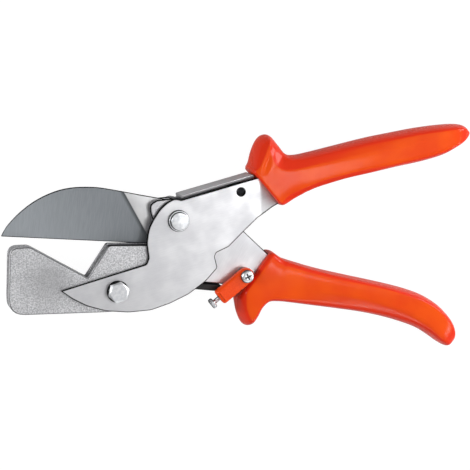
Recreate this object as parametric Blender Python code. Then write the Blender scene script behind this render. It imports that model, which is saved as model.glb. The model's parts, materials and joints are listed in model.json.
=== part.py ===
# Pipe shears: a straight blade that closes into the V of a slotted anvil.
# The tool lies flat on its back: +X runs towards the handles, +Y across them, +Z up
# out of the front plate. All outlines are drawn round the cutting pivot.

import bpy
import bmesh
import math
from mathutils import Matrix, Vector, geometry

for leftover in list(bpy.data.objects):
    bpy.data.objects.remove(leftover, do_unlink=True)


# Driving dimensions, in metres

FIT_GAP = 0.0003            # left between faces that touch on the real tool
CUT_OVERRUN = 0.001         # how far a cutter runs past what it cuts
EDGE_BREAK = 0.00025        # broken edge of a blanked plate
CAST_EDGE = 0.0005          # softer edge of a cast or moulded block
LEAST_EDGE = 0.00006        # shortest edge worth keeping in an outline

# Layers along the pivot, counted outwards from the middle of the blade
BLADE_THICK = 0.003
PACKING_THICK = 0.0014
CHEEK_THICK = 0.0022
PLATE_THICK = 0.002

# Blade
BLADE_LENGTH = 0.091         # pivot to the tip
BLADE_DEPTH = 0.027         # spine to edge at the widest
EDGE_THICK = 0.0002
GRIND_HEIGHT = 0.030        # edge to where the ground face would reach full thickness
GRIND_RUNOUT = 0.0025

# Front plate and rear plate
PLATE_LENGTH = 0.103        # jaw tip to the bend at the handle
PLATE_DEPTH = 0.070
BEND_X = 0.0424             # where the plates start to draw together
BEND_RUN = 0.0126

# Folded web of the rear shell
WEB_START_X = 0.0016
WEB_START_Y = 0.0116
WEB_ANGLE = 16.4            # degrees above +X
WEB_THICK = 0.0015
WEB_BEND = 0.0012
WEB_LIP = 0.0004

# Anvil and its bolt
ANVIL_LENGTH = 0.073         # end face to the buried end
ANVIL_DEPTH = 0.036
BLADE_SLOT = 0.0036
SLOT_FLOOR_GAP = 0.001      # under the closed edge
ANVIL_BOLT_X = -0.0311
ANVIL_BOLT_Y = -0.0367
ANVIL_BOLT_RADIUS = 0.003
HEX_FLATS = 0.010
HEX_HEIGHT = 0.004
HEX_TURN = 20.0
DOWEL_RADIUS = 0.002
DOWEL_X = -0.0485
DOWEL_Y = -0.0395

# Pivot
PIVOT_SHANK_RADIUS = 0.004
PIVOT_HEAD_RADIUS = 0.0056
PIVOT_HEAD_HEIGHT = 0.0027
PIVOT_HEAD_CHAMFER = 0.0010
PIVOT_NUT_FLATS = 0.013
BUSH_WALL = 0.001
NUT_HEIGHT = 0.0027
CLOSED_ANGLE = 22.0         # degrees the lower handle turns to close

# Fork of the lower handle
FORK_LENGTH = 0.060
FORK_DEPTH = 0.045
PACKING_RADIUS = 0.0122
PACKING_DROP = 0.003        # the packing sits this far below the pivot
RIVET_RADIUS = 0.002
CORE_INSET = 0.0005         # the core stands back from the edges of the cheeks

# Opening spring and the sleeve that carries it
SLEEVE_X = 0.0327
SLEEVE_Y = 0.0152
SLEEVE_BORE_RADIUS = 0.0022
SLEEVE_WALL = 0.00075
SPRING_WIRE = 0.0012
SPRING_RADIUS = 0.004
SPRING_PITCH = 0.0018
SPRING_TURNS = 2
SPRING_SPREAD = 30.0        # degrees from straight down to the free leg
SPRING_POINTS = 10
SPRING_FIXED_LEG = 0.014

# Stop buffer under the fork
BUFFER_LENGTH = 0.0160
BUFFER_HEIGHT = 0.0036
BUFFER_X = 0.0170

# Grips
UPPER_MOUTH_X = 0.0455
UPPER_MOUTH_Y = 0.0175
UPPER_ANGLE = 14.3
UPPER_LENGTH = 0.117
LOWER_MOUTH_X = 0.0415
LOWER_MOUTH_Y = -0.0285
LOWER_ANGLE = -18.0
LOWER_LENGTH = 0.117
GRIP_WIDTH = 0.020
GRIP_THICK = 0.022

# Safety catch and its screws
CATCH_X = 0.0358
CATCH_Y = -0.0282
CATCH_ANGLE = 220.0
CATCH_LENGTH = 0.0182
CATCH_WIDTH = 0.0082
CATCH_THICK = 0.0056
CATCH_LIFT = 0.0021         # washer that holds the catch clear of the front plate
CATCH_SHANK_RADIUS = 0.0017
PAN_HEAD_RADIUS = 0.00335
PAN_HEAD_HEIGHT = 0.0021
CROSS_TURN = 25.0
THUMB_SHANK_RADIUS = 0.00125
THUMB_HEAD_RADIUS = 0.0028
THUMB_HEAD_THICK = 0.0022
THUMB_NECK = 0.0033         # shown between the catch and the head
THUMB_BORE_DEPTH = 0.0123
THUMB_TRAVEL = 0.003

ROUND_STEPS = 32
SMALL_STEPS = 20
ARC_STEPS = 4
RING_POINTS = 20
RING_POWER = 2.5            # 2 is an ellipse, more is boxier
corner_reach_share = 0.45   # most of an edge that one rounded corner may use

# Heights of the layers above the middle plane
packing_in = BLADE_THICK / 2 + FIT_GAP
packing_out = packing_in + PACKING_THICK
cheek_in = packing_out + FIT_GAP
cheek_out = cheek_in + CHEEK_THICK
plate_in = cheek_out + FIT_GAP
plate_out = plate_in + PLATE_THICK
head_seat = plate_out + FIT_GAP
tang_in = FIT_GAP / 2
bend_drop = plate_in - tang_in
catch_low = cheek_out + FIT_GAP + CATCH_LIFT + FIT_GAP
catch_high = catch_low + CATCH_THICK


# Materials

def paint(name, red, green, blue, metallic, roughness):
    material = bpy.data.materials.new(name)
    material.use_nodes = True
    shader = material.node_tree.nodes["Principled BSDF"]
    shader.inputs["Base Color"].default_value = (red, green, blue, 1.0)
    shader.inputs["Metallic"].default_value = metallic
    shader.inputs["Roughness"].default_value = roughness
    return material


plated_steel = paint("plated_steel", 0.72, 0.72, 0.73, 1.0, 0.30)
dark_plating = paint("dark_plating", 0.40, 0.40, 0.41, 1.0, 0.40)
coated_blade = paint("coated_blade", 0.22, 0.24, 0.25, 1.0, 0.40)
cast_grey = paint("cast_grey", 0.45, 0.45, 0.46, 0.9, 0.60)
bright_zinc = paint("bright_zinc", 0.80, 0.80, 0.82, 1.0, 0.22)
spring_steel = paint("spring_steel", 0.35, 0.35, 0.36, 1.0, 0.35)
bronze = paint("bronze", 0.55, 0.38, 0.18, 1.0, 0.35)
orange_vinyl = paint("orange_vinyl", 0.80, 0.11, 0.02, 0.0, 0.25)
black_rubber = paint("black_rubber", 0.015, 0.015, 0.015, 0.0, 0.70)

# Everything hangs from this empty, which ends up on the cutting pivot.
pivot_frame = bpy.data.objects.new("pivot_frame", None)
bpy.context.collection.objects.link(pivot_frame)


# Outlines

def along(origin_x, origin_y, degrees, length, width):
    """Return a function that places (length share, width share) on a sloping axis."""
    cosine = math.cos(math.radians(degrees))
    sine = math.sin(math.radians(degrees))

    def place(length_share, width_share):
        forward = length_share * length
        aside = width_share * width
        x = origin_x + forward * cosine - aside * sine
        y = origin_y + forward * sine + aside * cosine
        return x, y

    return place


on_upper = along(UPPER_MOUTH_X, UPPER_MOUTH_Y, UPPER_ANGLE, UPPER_LENGTH, GRIP_WIDTH)
on_lower = along(LOWER_MOUTH_X, LOWER_MOUTH_Y, LOWER_ANGLE, LOWER_LENGTH, GRIP_WIDTH)


def from_shares(corner_shares, length, depth):
    """Turn (x share, y share, corner share) into (x, y, corner radius)."""
    return [(x * length, y * depth, corner * depth) for x, y, corner in corner_shares]


def rounded(corners):
    """Replace each (x, y, radius) corner by an arc that its two edges can hold."""
    points = []
    for index, (x, y, radius) in enumerate(corners):
        here = Vector((x, y))
        back = Vector(corners[index - 1][:2]) - here
        ahead = Vector(corners[(index + 1) % len(corners)][:2]) - here
        half = back.angle(ahead) / 2
        if radius <= 0 or half > math.radians(89):
            points.append((x, y))
            continue
        longest = min(back.length, ahead.length) * corner_reach_share
        reach = min(radius / math.tan(half), longest)
        radius = reach * math.tan(half)
        middle = (back.normalized() + ahead.normalized()).normalized()
        centre = here + middle * (radius / math.sin(half))
        first = here + back.normalized() * reach - centre
        last = here + ahead.normalized() * reach - centre
        sweep = first.angle_signed(last)
        for step in range(ARC_STEPS + 1):
            turned = first.copy()
            turned.rotate(Matrix.Rotation(-sweep * step / ARC_STEPS, 2))
            points.append(tuple(centre + turned))
    return thinned(points)


def thinned(points):
    """Leave out points that lie too close to the one before."""
    kept = []
    for index, point in enumerate(points):
        if (Vector(point) - Vector(points[index - 1])).length > LEAST_EDGE:
            kept.append(point)
    return kept


def smooth(points, steps):
    """Pass a Catmull-Rom curve through the points, keeping both ends."""
    curve = []
    for index in range(len(points) - 1):
        before = Vector(points[max(index - 1, 0)])
        start = Vector(points[index])
        end = Vector(points[index + 1])
        after = Vector(points[min(index + 2, len(points) - 1)])
        for step in range(steps):
            t = step / steps
            pull = (end - before) * t
            bend = (2 * before - 5 * start + 4 * end - after) * t ** 2
            twist = (3 * start - before - 3 * end + after) * t ** 3
            curve.append(tuple(start + (pull + bend + twist) / 2))
    curve.append(tuple(points[-1]))
    return curve


def area_of(points):
    total = 0
    for index, (x, y) in enumerate(points):
        total += points[index - 1][0] * y - x * points[index - 1][1]
    return total / 2


def counter_clockwise(points):
    return points if area_of(points) > 0 else points[::-1]


def grown(points, distance):
    """Move each edge of a counter-clockwise outline outwards by a distance."""
    moved = []
    for index, point in enumerate(points):
        here = Vector(point)
        arriving = (here - Vector(points[index - 1])).normalized()
        leaving = (Vector(points[(index + 1) % len(points)]) - here).normalized()
        arriving_out = Vector((arriving.y, -arriving.x))
        leaving_out = Vector((leaving.y, -leaving.x))
        middle = (arriving_out + leaving_out).normalized()
        stretch = max(middle.dot(leaving_out), 0.5)
        moved.append(tuple(here + middle * (distance / stretch)))
    return moved


def circle(x, y, radius, steps=SMALL_STEPS, start=0.0):
    turns = [math.radians(start) + math.tau * step / steps for step in range(steps)]
    return [(x + radius * math.cos(turn), y + radius * math.sin(turn)) for turn in turns]


# Solids

def add_object(name, bm, material, parent=pivot_frame, smooth_angle=None):
    bmesh.ops.recalc_face_normals(bm, faces=bm.faces[:])
    mesh = bpy.data.meshes.new(name)
    bm.to_mesh(mesh)
    bm.free()
    if smooth_angle:
        mesh.shade_smooth()
        mesh.set_sharp_from_angle(angle=math.radians(smooth_angle))
    piece = bpy.data.objects.new(name, mesh)
    bpy.context.collection.objects.link(piece)
    piece.parent = parent
    if material:
        mesh.materials.append(material)
    return piece


def slab(outline, low, high, holes=(), edge=0.0):
    """A flat plate with holes, its outer edges broken by a small chamfer."""
    outer = counter_clockwise(outline)
    inner = grown(outer, -edge) if edge else outer
    hole_loops = [counter_clockwise(hole)[::-1] for hole in holes]
    bm = bmesh.new()

    def ring(points, height):
        return [bm.verts.new((x, y, height)) for x, y in points]

    def wall(below, above):
        for index in range(len(below)):
            corners = (below[index - 1], below[index], above[index], above[index - 1])
            bm.faces.new(corners)

    rings = [ring(inner, low)]
    if edge:
        rings.append(ring(outer, low + edge))
        rings.append(ring(outer, high - edge))
    rings.append(ring(inner, high))
    for below, above in zip(rings, rings[1:]):
        wall(below, above)
    low_verts = list(rings[0])
    high_verts = list(rings[-1])
    for loop in hole_loops:
        hole_low = ring(loop, low)
        hole_high = ring(loop, high)
        wall(hole_low, hole_high)
        low_verts += hole_low
        high_verts += hole_high
    flat = [[Vector((x, y, 0)) for x, y in loop] for loop in [inner] + hole_loops]
    for a, b, c in geometry.tessellate_polygon(flat):
        bm.faces.new((low_verts[c], low_verts[b], low_verts[a]))
        bm.faces.new((high_verts[a], high_verts[b], high_verts[c]))
    return bm


def turned(profile, steps=ROUND_STEPS):
    """Turn (radius, height) points round the pivot direction. A profile that starts
    and ends at radius 0 is solid, any other is a closed ring."""
    bm = bmesh.new()
    solid = profile[0][0] == 0
    rings = []
    for radius, height in profile:
        if radius == 0:
            rings.append([bm.verts.new((0, 0, height))])
            continue
        rings.append([bm.verts.new((x, y, height)) for x, y in circle(0, 0, radius, steps)])
    pairs = list(zip(rings, rings[1:]))
    if not solid:
        pairs.append((rings[-1], rings[0]))
    for below, above in pairs:
        for index in range(steps):
            corners = [below[(index - 1) % len(below)], below[index % len(below)]]
            corners += [above[index % len(above)], above[(index - 1) % len(above)]]
            bm.faces.new(list(dict.fromkeys(corners)))
    return bm


def tube_profile(bore, outer, low, high):
    return [(bore, low), (outer, low), (outer, high), (bore, high)]


def pin_profile(radius, low, high):
    return [(0, low), (radius, low), (radius, high), (0, high)]


def shift(bm, x, y, z=0.0):
    bmesh.ops.translate(bm, verts=bm.verts, vec=(x, y, z))
    return bm


def helper(name, bm):
    """A solid that only cuts or joins, and isn't part of the tool."""
    piece = add_object(name, bm, None)
    piece.hide_render = True
    piece.display_type = "WIRE"
    return piece


def boolean(piece, tool, operation="DIFFERENCE"):
    modifier = piece.modifiers.new(tool.name, "BOOLEAN")
    modifier.operation = operation
    modifier.solver = "EXACT"
    modifier.object = tool


def pinch(bm):
    """Draw the handle end of a plate in towards the middle plane, past the bend."""
    for bend_x in (BEND_X, BEND_X + BEND_RUN):
        everything = bm.verts[:] + bm.edges[:] + bm.faces[:]
        bmesh.ops.bisect_plane(bm, geom=everything, dist=LEAST_EDGE / 2,
                               plane_co=(bend_x, 0, 0), plane_no=(1, 0, 0))
    bmesh.ops.remove_doubles(bm, verts=bm.verts, dist=LEAST_EDGE / 2)
    bm.normal_update()
    bmesh.ops.triangulate(bm, faces=bm.faces[:])
    for vert in bm.verts:
        progress = min(max((vert.co.x - BEND_X) / BEND_RUN, 0), 1)
        vert.co.z -= math.copysign(bend_drop * progress, vert.co.z)
    return bm


# Plates and rear shell

nose_shares = [
    (-0.588, -0.520, 0.005), (-0.158, -0.323, 0.03), (-0.149, -0.279, 0.02),
    (-0.161, -0.164, 0.2), (-0.151, -0.057, 0.2), (-0.128, 0.013, 0.2),
    (-0.099, 0.081, 0.2), (-0.063, 0.134, 0.2), (-0.022, 0.166, 0.1),
    (0.010, 0.154, 0.02),
]
shoulder_share = (0.396, 0.321)
corner_share = (0.508, 0.130)
flank_shares = [
    (0.412, 0.066, 0.05), (0.347, -0.073, 0.2), (0.273, -0.191, 0.06),
    (0.200, -0.231, 0.02), (0.192, -0.261, 0.02), (0.209, -0.351, 0.03),
    (0.149, -0.454, 0.2), (0.064, -0.549, 0.2), (-0.033, -0.619, 0.2),
    (-0.127, -0.667, 0.2), (-0.243, -0.683, 0.3), (-0.361, -0.671, 0.3),
    (-0.456, -0.633, 0.2), (-0.529, -0.580, 0.1),
]
upper_tang_shares = [
    (0.06, 0.30), (0.60, 0.22), (0.72, 0.10), (0.60, -0.10), (0.16, -0.16), (0.10, -0.34),
]
tang_corner_share = 0.12
upper_rivet_shares = [(0.22, 0.08), (0.52, 0.06)]


def tang_corners():
    corners = []
    for length_share, width_share in upper_tang_shares:
        x, y = on_upper(length_share, width_share)
        corners.append((x, y, GRIP_WIDTH * tang_corner_share))
    return corners


def plate_outline():
    corners = from_shares(nose_shares, PLATE_LENGTH, PLATE_DEPTH)
    corners.append((shoulder_share[0] * PLATE_LENGTH, shoulder_share[1] * PLATE_DEPTH, 0))
    corners += tang_corners()
    corners.append((corner_share[0] * PLATE_LENGTH, corner_share[1] * PLATE_DEPTH, 0))
    corners += from_shares(flank_shares, PLATE_LENGTH, PLATE_DEPTH)
    return rounded(corners)


def tang_rivet_places():
    return [on_upper(*share) for share in upper_rivet_shares]


def shared_holes():
    holes = [circle(0, 0, PIVOT_SHANK_RADIUS + FIT_GAP, ROUND_STEPS)]
    holes.append(circle(ANVIL_BOLT_X, ANVIL_BOLT_Y, ANVIL_BOLT_RADIUS + FIT_GAP))
    holes += [circle(x, y, RIVET_RADIUS + FIT_GAP) for x, y in tang_rivet_places()]
    return holes


def make_front_plate():
    holes = shared_holes()
    holes.append(circle(SLEEVE_X, SLEEVE_Y, SLEEVE_BORE_RADIUS))
    bm = slab(plate_outline(), plate_in, plate_out, holes, EDGE_BREAK)
    return add_object("front_plate", pinch(bm), plated_steel)


def web_section():
    """Across the web: (distance out from its inner face, height)."""
    front = plate_out - EDGE_BREAK
    bend = [(WEB_THICK, -plate_out + WEB_BEND)]
    for step in range(1, ARC_STEPS + 1):
        turn = math.pi / 2 * step / ARC_STEPS
        out = WEB_THICK - WEB_BEND + WEB_BEND * math.cos(turn)
        bend.append((out, -plate_out + WEB_BEND - WEB_BEND * math.sin(turn)))
    section = [(0, front - WEB_THICK + WEB_LIP), (WEB_THICK - WEB_LIP, front)]
    section += [(WEB_THICK, front)] + bend
    section += [(0, -plate_out), (-WEB_THICK, -plate_out + WEB_LIP)]
    section += [(-WEB_THICK, -plate_in - WEB_LIP), (0, -plate_in - WEB_LIP)]
    return section


def web_solid():
    """Carry the web's section along its line, its far end cut to the grip's mouth."""
    line = Vector((1, math.tan(math.radians(WEB_ANGLE)), 0))
    out = Vector((-line.y, line.x, 0)).normalized()
    start = Vector((WEB_START_X, WEB_START_Y, 0))
    mouth_low = Vector(on_upper(*upper_mouth_inner_share))
    mouth_high = Vector(on_upper(*upper_mouth_outer_share))
    mouth = mouth_high - mouth_low
    mouth_out = Vector((-mouth.y, mouth.x)).normalized()
    bm = bmesh.new()
    rings = [[], []]
    for distance, height in web_section():
        corner = start + out * distance + Vector((0, 0, height))
        to_mouth = (mouth_low.to_3d() - corner).dot(mouth_out.to_3d()) + FIT_GAP
        run = to_mouth / line.dot(mouth_out.to_3d())
        rings[0].append(bm.verts.new(corner))
        rings[1].append(bm.verts.new(corner + line * run))
    for index in range(len(rings[0])):
        corners = (rings[0][index - 1], rings[0][index], rings[1][index], rings[1][index - 1])
        bm.faces.new(corners)
    bm.faces.new(rings[0])
    bm.faces.new(rings[1])
    bm.normal_update()
    bmesh.ops.triangulate(bm, faces=bm.faces[:])
    return bm


def make_rear_shell():
    holes = shared_holes()
    holes.append(circle(DOWEL_X, DOWEL_Y, DOWEL_RADIUS + FIT_GAP))
    bm = slab(plate_outline(), -plate_out, -plate_in, holes)
    shell = add_object("rear_shell", pinch(bm), plated_steel)
    boolean(shell, helper("web_blank", web_solid()), "UNION")
    return shell


# Grips: each is a run of cross lines between its outer and its inner edge. A row holds
# the outer point, the inner point, the share of the full thickness and the lean, which
# makes the outer side thicker than the inner one.

upper_mouth_outer_share = (-0.055, 0.58)
upper_mouth_inner_share = (0.055, -0.58)
upper_grip_shares = [
    (upper_mouth_outer_share, upper_mouth_inner_share, 0.88, 0.10),
    ((-0.035, 0.66), (0.068, -0.60), 0.93, 0.08),
    ((-0.017, 0.90), (0.085, -0.585), 0.97, 0.06),
    ((0.004, 1.10), (0.105, -0.55), 1.00, 0.04),
    ((0.024, 1.23), (0.120, -0.52), 1.00, 0.0),
    ((0.047, 1.30), (0.135, -0.495), 1.00, -0.05),
    ((0.071, 1.30), (0.150, -0.47), 1.00, -0.08),
    ((0.092, 1.23), (0.165, -0.45), 1.00, -0.08),
    ((0.116, 0.98), (0.180, -0.42), 1.00, -0.05),
    ((0.140, 0.70), (0.200, -0.40), 1.00, 0.0),
    ((0.175, 0.60), (0.230, -0.37), 1.00, 0.0),
    ((0.247, 0.57), (0.290, -0.345), 1.00, 0.0),
    ((0.356, 0.57), (0.378, -0.33), 1.00, 0.0),
    ((0.515, 0.57), (0.500, -0.35), 1.00, 0.0),
    ((0.634, 0.54), (0.620, -0.37), 0.98, 0.0),
    ((0.753, 0.50), (0.740, -0.395), 0.95, 0.0),
    ((0.860, 0.43), (0.844, -0.37), 0.90, 0.0),
    ((0.935, 0.35), (0.915, -0.27), 0.78, 0.0),
    ((0.978, 0.245), (0.962, -0.175), 0.56, 0.0),
    ((0.999, 0.07), (0.994, -0.05), 0.24, 0.0),
]
lower_grip_shares = [
    ((0.037, 0.73), (-0.040, -0.74), 0.92, 0.0),
    ((0.055, 0.715), (-0.029, -0.86), 0.95, 0.0),
    ((0.078, 0.69), (-0.012, -1.04), 0.97, 0.0),
    ((0.098, 0.67), (0.009, -1.20), 1.00, 0.04),
    ((0.118, 0.655), (0.032, -1.31), 1.00, 0.06),
    ((0.135, 0.645), (0.055, -1.355), 1.00, 0.08),
    ((0.150, 0.635), (0.075, -1.34), 1.00, 0.08),
    ((0.165, 0.63), (0.092, -1.25), 1.00, 0.06),
    ((0.180, 0.63), (0.106, -1.08), 1.00, 0.04),
    ((0.195, 0.63), (0.116, -0.80), 1.00, 0.0),
    ((0.215, 0.63), (0.140, -0.55), 1.00, 0.0),
    ((0.254, 0.645), (0.200, -0.42), 1.00, 0.0),
    ((0.328, 0.68), (0.300, -0.32), 1.00, 0.0),
    ((0.443, 0.75), (0.420, -0.19), 1.00, 0.0),
    ((0.550, 0.82), (0.540, -0.07), 1.00, 0.0),
    ((0.640, 0.87), (0.650, 0.00), 1.00, 0.0),
    ((0.716, 0.895), (0.752, 0.02), 0.98, 0.0),
    ((0.795, 0.88), (0.824, 0.00), 0.95, 0.0),
    ((0.870, 0.79), (0.880, -0.07), 0.90, 0.0),
    ((0.930, 0.64), (0.930, -0.155), 0.82, 0.0),
    ((0.978, 0.46), (0.968, -0.205), 0.66, 0.0),
    ((1.008, 0.26), (0.993, -0.205), 0.46, 0.0),
    ((1.020, 0.08), (1.008, -0.14), 0.22, 0.0),
]


def grip_ring(bm, outer, inner, half_thick, lean):
    outer = Vector(outer)
    inner = Vector(inner)
    middle = (outer + inner) / 2
    reach = (outer - inner) / 2
    ring = []
    for index in range(RING_POINTS):
        turn = math.tau * index / RING_POINTS
        across = math.copysign(abs(math.cos(turn)) ** (2 / RING_POWER), math.cos(turn))
        up = math.copysign(abs(math.sin(turn)) ** (2 / RING_POWER), math.sin(turn))
        flat = middle + reach * across
        ring.append(bm.verts.new((flat.x, flat.y, up * half_thick * (1 + lean * across))))
    return ring


def grip_solid(row_shares, place):
    bm = bmesh.new()
    rings = []
    for outer, inner, thick_share, lean in row_shares:
        half_thick = thick_share * GRIP_THICK / 2
        rings.append(grip_ring(bm, place(*outer), place(*inner), half_thick, lean))
    for below, above in zip(rings, rings[1:]):
        for index in range(RING_POINTS):
            bm.faces.new((below[index - 1], below[index], above[index], above[index - 1]))
    bm.faces.new(rings[0])
    bm.faces.new(rings[-1])
    bm.normal_update()
    bmesh.ops.triangulate(bm, faces=bm.faces[:])
    return bm


def make_upper_grip():
    bm = grip_solid(upper_grip_shares, on_upper)
    grip = add_object("upper_grip", bm, orange_vinyl, smooth_angle=50)
    outline = grown(counter_clockwise(plate_outline()), FIT_GAP)
    pocket = slab(outline, -plate_out - FIT_GAP, plate_out + FIT_GAP)
    boolean(grip, helper("upper_pocket", pinch(pocket)))
    return grip


def make_rivets(name, places, half_length, parent=pivot_frame):
    for number, (x, y) in enumerate(places, 1):
        pin = turned(pin_profile(RIVET_RADIUS, -half_length, half_length), SMALL_STEPS)
        bm = shift(pin, x, y)
        add_object(f"{name}_{number}", bm, bright_zinc, parent, smooth_angle=40)


# Anvil

anvil_shares = [
    (-1.190, -0.397, 0.14), (-1.190, -1.369, 0.25), (-0.521, -1.333, 0), (-0.185, -1.292, 0.05),
    (-0.185, -0.372, 0.05), (-0.490, -0.378, 0.012), (-0.634, -0.833, 0.015), (-1.048, -0.386, 0.03),
]
edge_tip_share = (-0.998, -0.337)
edge_heel_share = (-0.178, -0.467)


def closed_point(share):
    """Where a point of the blade lies once the shears are closed."""
    turn = math.radians(CLOSED_ANGLE)
    x = share[0] * BLADE_LENGTH
    y = share[1] * BLADE_DEPTH
    turned_x = x * math.cos(turn) - y * math.sin(turn)
    turned_y = x * math.sin(turn) + y * math.cos(turn)
    return Vector((turned_x, turned_y))


def slot_outline():
    tip = closed_point(edge_tip_share)
    heel = closed_point(edge_heel_share)
    edge = (heel - tip).normalized()
    down = Vector((edge.y, -edge.x)) * SLOT_FLOOR_GAP
    low = tip + down - edge * ANVIL_LENGTH
    high = heel + down + edge * ANVIL_LENGTH
    return [tuple(low), tuple(high), (high.x, ANVIL_DEPTH), (low.x, ANVIL_DEPTH)]


def make_anvil():
    outline = rounded(from_shares(anvil_shares, ANVIL_LENGTH, ANVIL_DEPTH))
    holes = [circle(ANVIL_BOLT_X, ANVIL_BOLT_Y, ANVIL_BOLT_RADIUS + FIT_GAP)]
    holes.append(circle(DOWEL_X, DOWEL_Y, DOWEL_RADIUS + FIT_GAP))
    anvil = add_object("anvil", slab(outline, -cheek_out, cheek_out, holes, CAST_EDGE), cast_grey)
    slot = helper("anvil_slot", slab(slot_outline(), -BLADE_SLOT / 2, BLADE_SLOT / 2))
    boolean(anvil, slot)
    return anvil


def hex_outline(x, y, flats, turn):
    return circle(x, y, flats / math.sqrt(3), 6, turn)


def make_anvil_bolt():
    shank = turned(pin_profile(ANVIL_BOLT_RADIUS, -head_seat - NUT_HEIGHT, head_seat + EDGE_BREAK))
    shank = shift(shank, ANVIL_BOLT_X, ANVIL_BOLT_Y)
    bolt = add_object("anvil_bolt", shank, bright_zinc, smooth_angle=40)
    outline = hex_outline(ANVIL_BOLT_X, ANVIL_BOLT_Y, HEX_FLATS, HEX_TURN)
    head = slab(outline, head_seat, head_seat + HEX_HEIGHT, edge=CAST_EDGE)
    boolean(bolt, helper("hex_head", head), "UNION")
    return bolt


def make_nut(name, x, y, radius, flats):
    outline = hex_outline(x, y, flats, 0)
    bore = circle(x, y, radius + FIT_GAP)
    bm = slab(outline, -head_seat - NUT_HEIGHT, -head_seat, [bore], EDGE_BREAK)
    return add_object(name, bm, bright_zinc)


def make_anvil_dowel():
    bm = turned(pin_profile(DOWEL_RADIUS, -plate_out, cheek_in), SMALL_STEPS)
    return add_object("anvil_dowel", shift(bm, DOWEL_X, DOWEL_Y), bright_zinc, smooth_angle=40)


# Pivot

def make_pivot_bolt():
    top = head_seat + PIVOT_HEAD_HEIGHT
    profile = [
        (0, -head_seat - NUT_HEIGHT), (PIVOT_SHANK_RADIUS, -head_seat - NUT_HEIGHT),
        (PIVOT_SHANK_RADIUS, head_seat), (PIVOT_HEAD_RADIUS, head_seat),
        (PIVOT_HEAD_RADIUS, top - PIVOT_HEAD_CHAMFER),
        (PIVOT_HEAD_RADIUS - PIVOT_HEAD_CHAMFER, top), (0, top),
    ]
    return add_object("pivot_bolt", turned(profile), bright_zinc, smooth_angle=40)


def make_pivot_bush(fork):
    bore = PIVOT_SHANK_RADIUS + FIT_GAP
    bm = turned(tube_profile(bore, bore + BUSH_WALL, -cheek_out, cheek_out))
    return add_object("pivot_bush", bm, bronze, fork, smooth_angle=40)


# Blade

spine_shares = [
    (-0.998, -0.337), (-0.968, -0.148), (-0.914, 0.059), (-0.855, 0.233), (-0.795, 0.370),
    (-0.733, 0.474), (-0.673, 0.548), (-0.611, 0.592), (-0.549, 0.609), (-0.487, 0.609),
    (-0.425, 0.593), (-0.300, 0.522), (-0.207, 0.465), (-0.111, 0.411), (-0.030, 0.360),
]
heel_shares = [
    (0.066, 0.280, 0.2), (0.143, 0.093, 0.2), (0.159, -0.185, 0.2), (0.110, -0.426, 0.2),
    (0.022, -0.489, 0.1), (-0.178, -0.467, 0),
]
grind_top_share = (-0.301, 0.56)
grind_low_share = (-0.180, -0.185)
blade_rivet_shares = [(0.088, -0.25), (-0.062, -0.30)]


def blade_point(share):
    return Vector((share[0] * BLADE_LENGTH, share[1] * BLADE_DEPTH))


def moving_holes():
    bush = PIVOT_SHANK_RADIUS + FIT_GAP + BUSH_WALL + FIT_GAP
    holes = [circle(0, 0, bush, ROUND_STEPS)]
    for share in blade_rivet_shares:
        place = blade_point(share)
        holes.append(circle(place.x, place.y, RIVET_RADIUS + FIT_GAP))
    return holes


def grind_wedge(side):
    """What the grinding wheel takes off one face, from the edge up to the spine."""
    tip = blade_point(edge_tip_share)
    heel = blade_point(edge_heel_share)
    along_edge = (heel - tip).normalized()
    rise = Vector((-along_edge.y, along_edge.x))
    line_low = blade_point(grind_low_share)
    line_top = blade_point(grind_top_share)
    slope = (line_top - line_low) / (line_top - line_low).dot(rise)
    depth_per_height = (BLADE_THICK - EDGE_THICK) / 2 / GRIND_HEIGHT
    low_height = -CUT_OVERRUN
    top_height = GRIND_HEIGHT + CUT_OVERRUN
    bm = bmesh.new()
    corners = []
    for height in (low_height, top_height):
        face = EDGE_THICK / 2 + height * depth_per_height
        on_line = line_low + slope * (height - (line_low - tip).dot(rise))
        cut_end = on_line - along_edge * GRIND_RUNOUT
        far = cut_end - along_edge * BLADE_LENGTH
        runout_end = on_line + along_edge * GRIND_RUNOUT
        corners.append((far, face))
        corners.append((cut_end, face))
        corners.append((runout_end, BLADE_THICK))
        corners.append((far, BLADE_THICK))
    verts = [bm.verts.new((flat.x, flat.y, side * up)) for flat, up in corners]
    bmesh.ops.convex_hull(bm, input=verts)
    return bm


def make_blade(fork):
    outline = smooth([blade_point(share) for share in spine_shares], 2)
    tang = rounded([(*outline[-1], 0)] + from_shares(heel_shares, BLADE_LENGTH, BLADE_DEPTH))
    bm = slab(outline + tang[1:], -BLADE_THICK / 2, BLADE_THICK / 2, moving_holes())
    blade = add_object("blade", bm, coated_blade, fork)
    for name, side in (("grind_front", 1), ("grind_back", -1)):
        cutter = helper(name, grind_wedge(side))
        cutter.parent = fork
        boolean(blade, cutter)
    return blade


# Fork: two cheeks, the packing round the blade and the core of the handle

fork_head_shares = [
    (0.150, 0.196, 0.1), (0.020, 0.214, 0.2), (-0.062, 0.246, 0.05), (-0.185, 0.229, 0.08),
    (-0.243, 0.180, 0.08), (-0.240, 0.090, 0.08), (-0.200, -0.060, 0.1), (-0.150, -0.230, 0.2),
    (-0.020, -0.480, 0.2), (0.145, -0.710, 0.08), (0.400, -0.742, 0.05),
]
fork_shoulder_share = (0.408, 0.092, 0.11)
lower_tang_shares = [
    (0.02, -0.50), (0.10, -0.40), (0.22, -0.18), (0.60, 0.22), (0.72, 0.34), (0.60, 0.62),
    (0.25, 0.42), (0.055, 0.46),
]
fork_mouth_share = (0.035, 0.615)
lower_rivet_shares = [(0.24, 0.10), (0.54, 0.38)]


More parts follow.
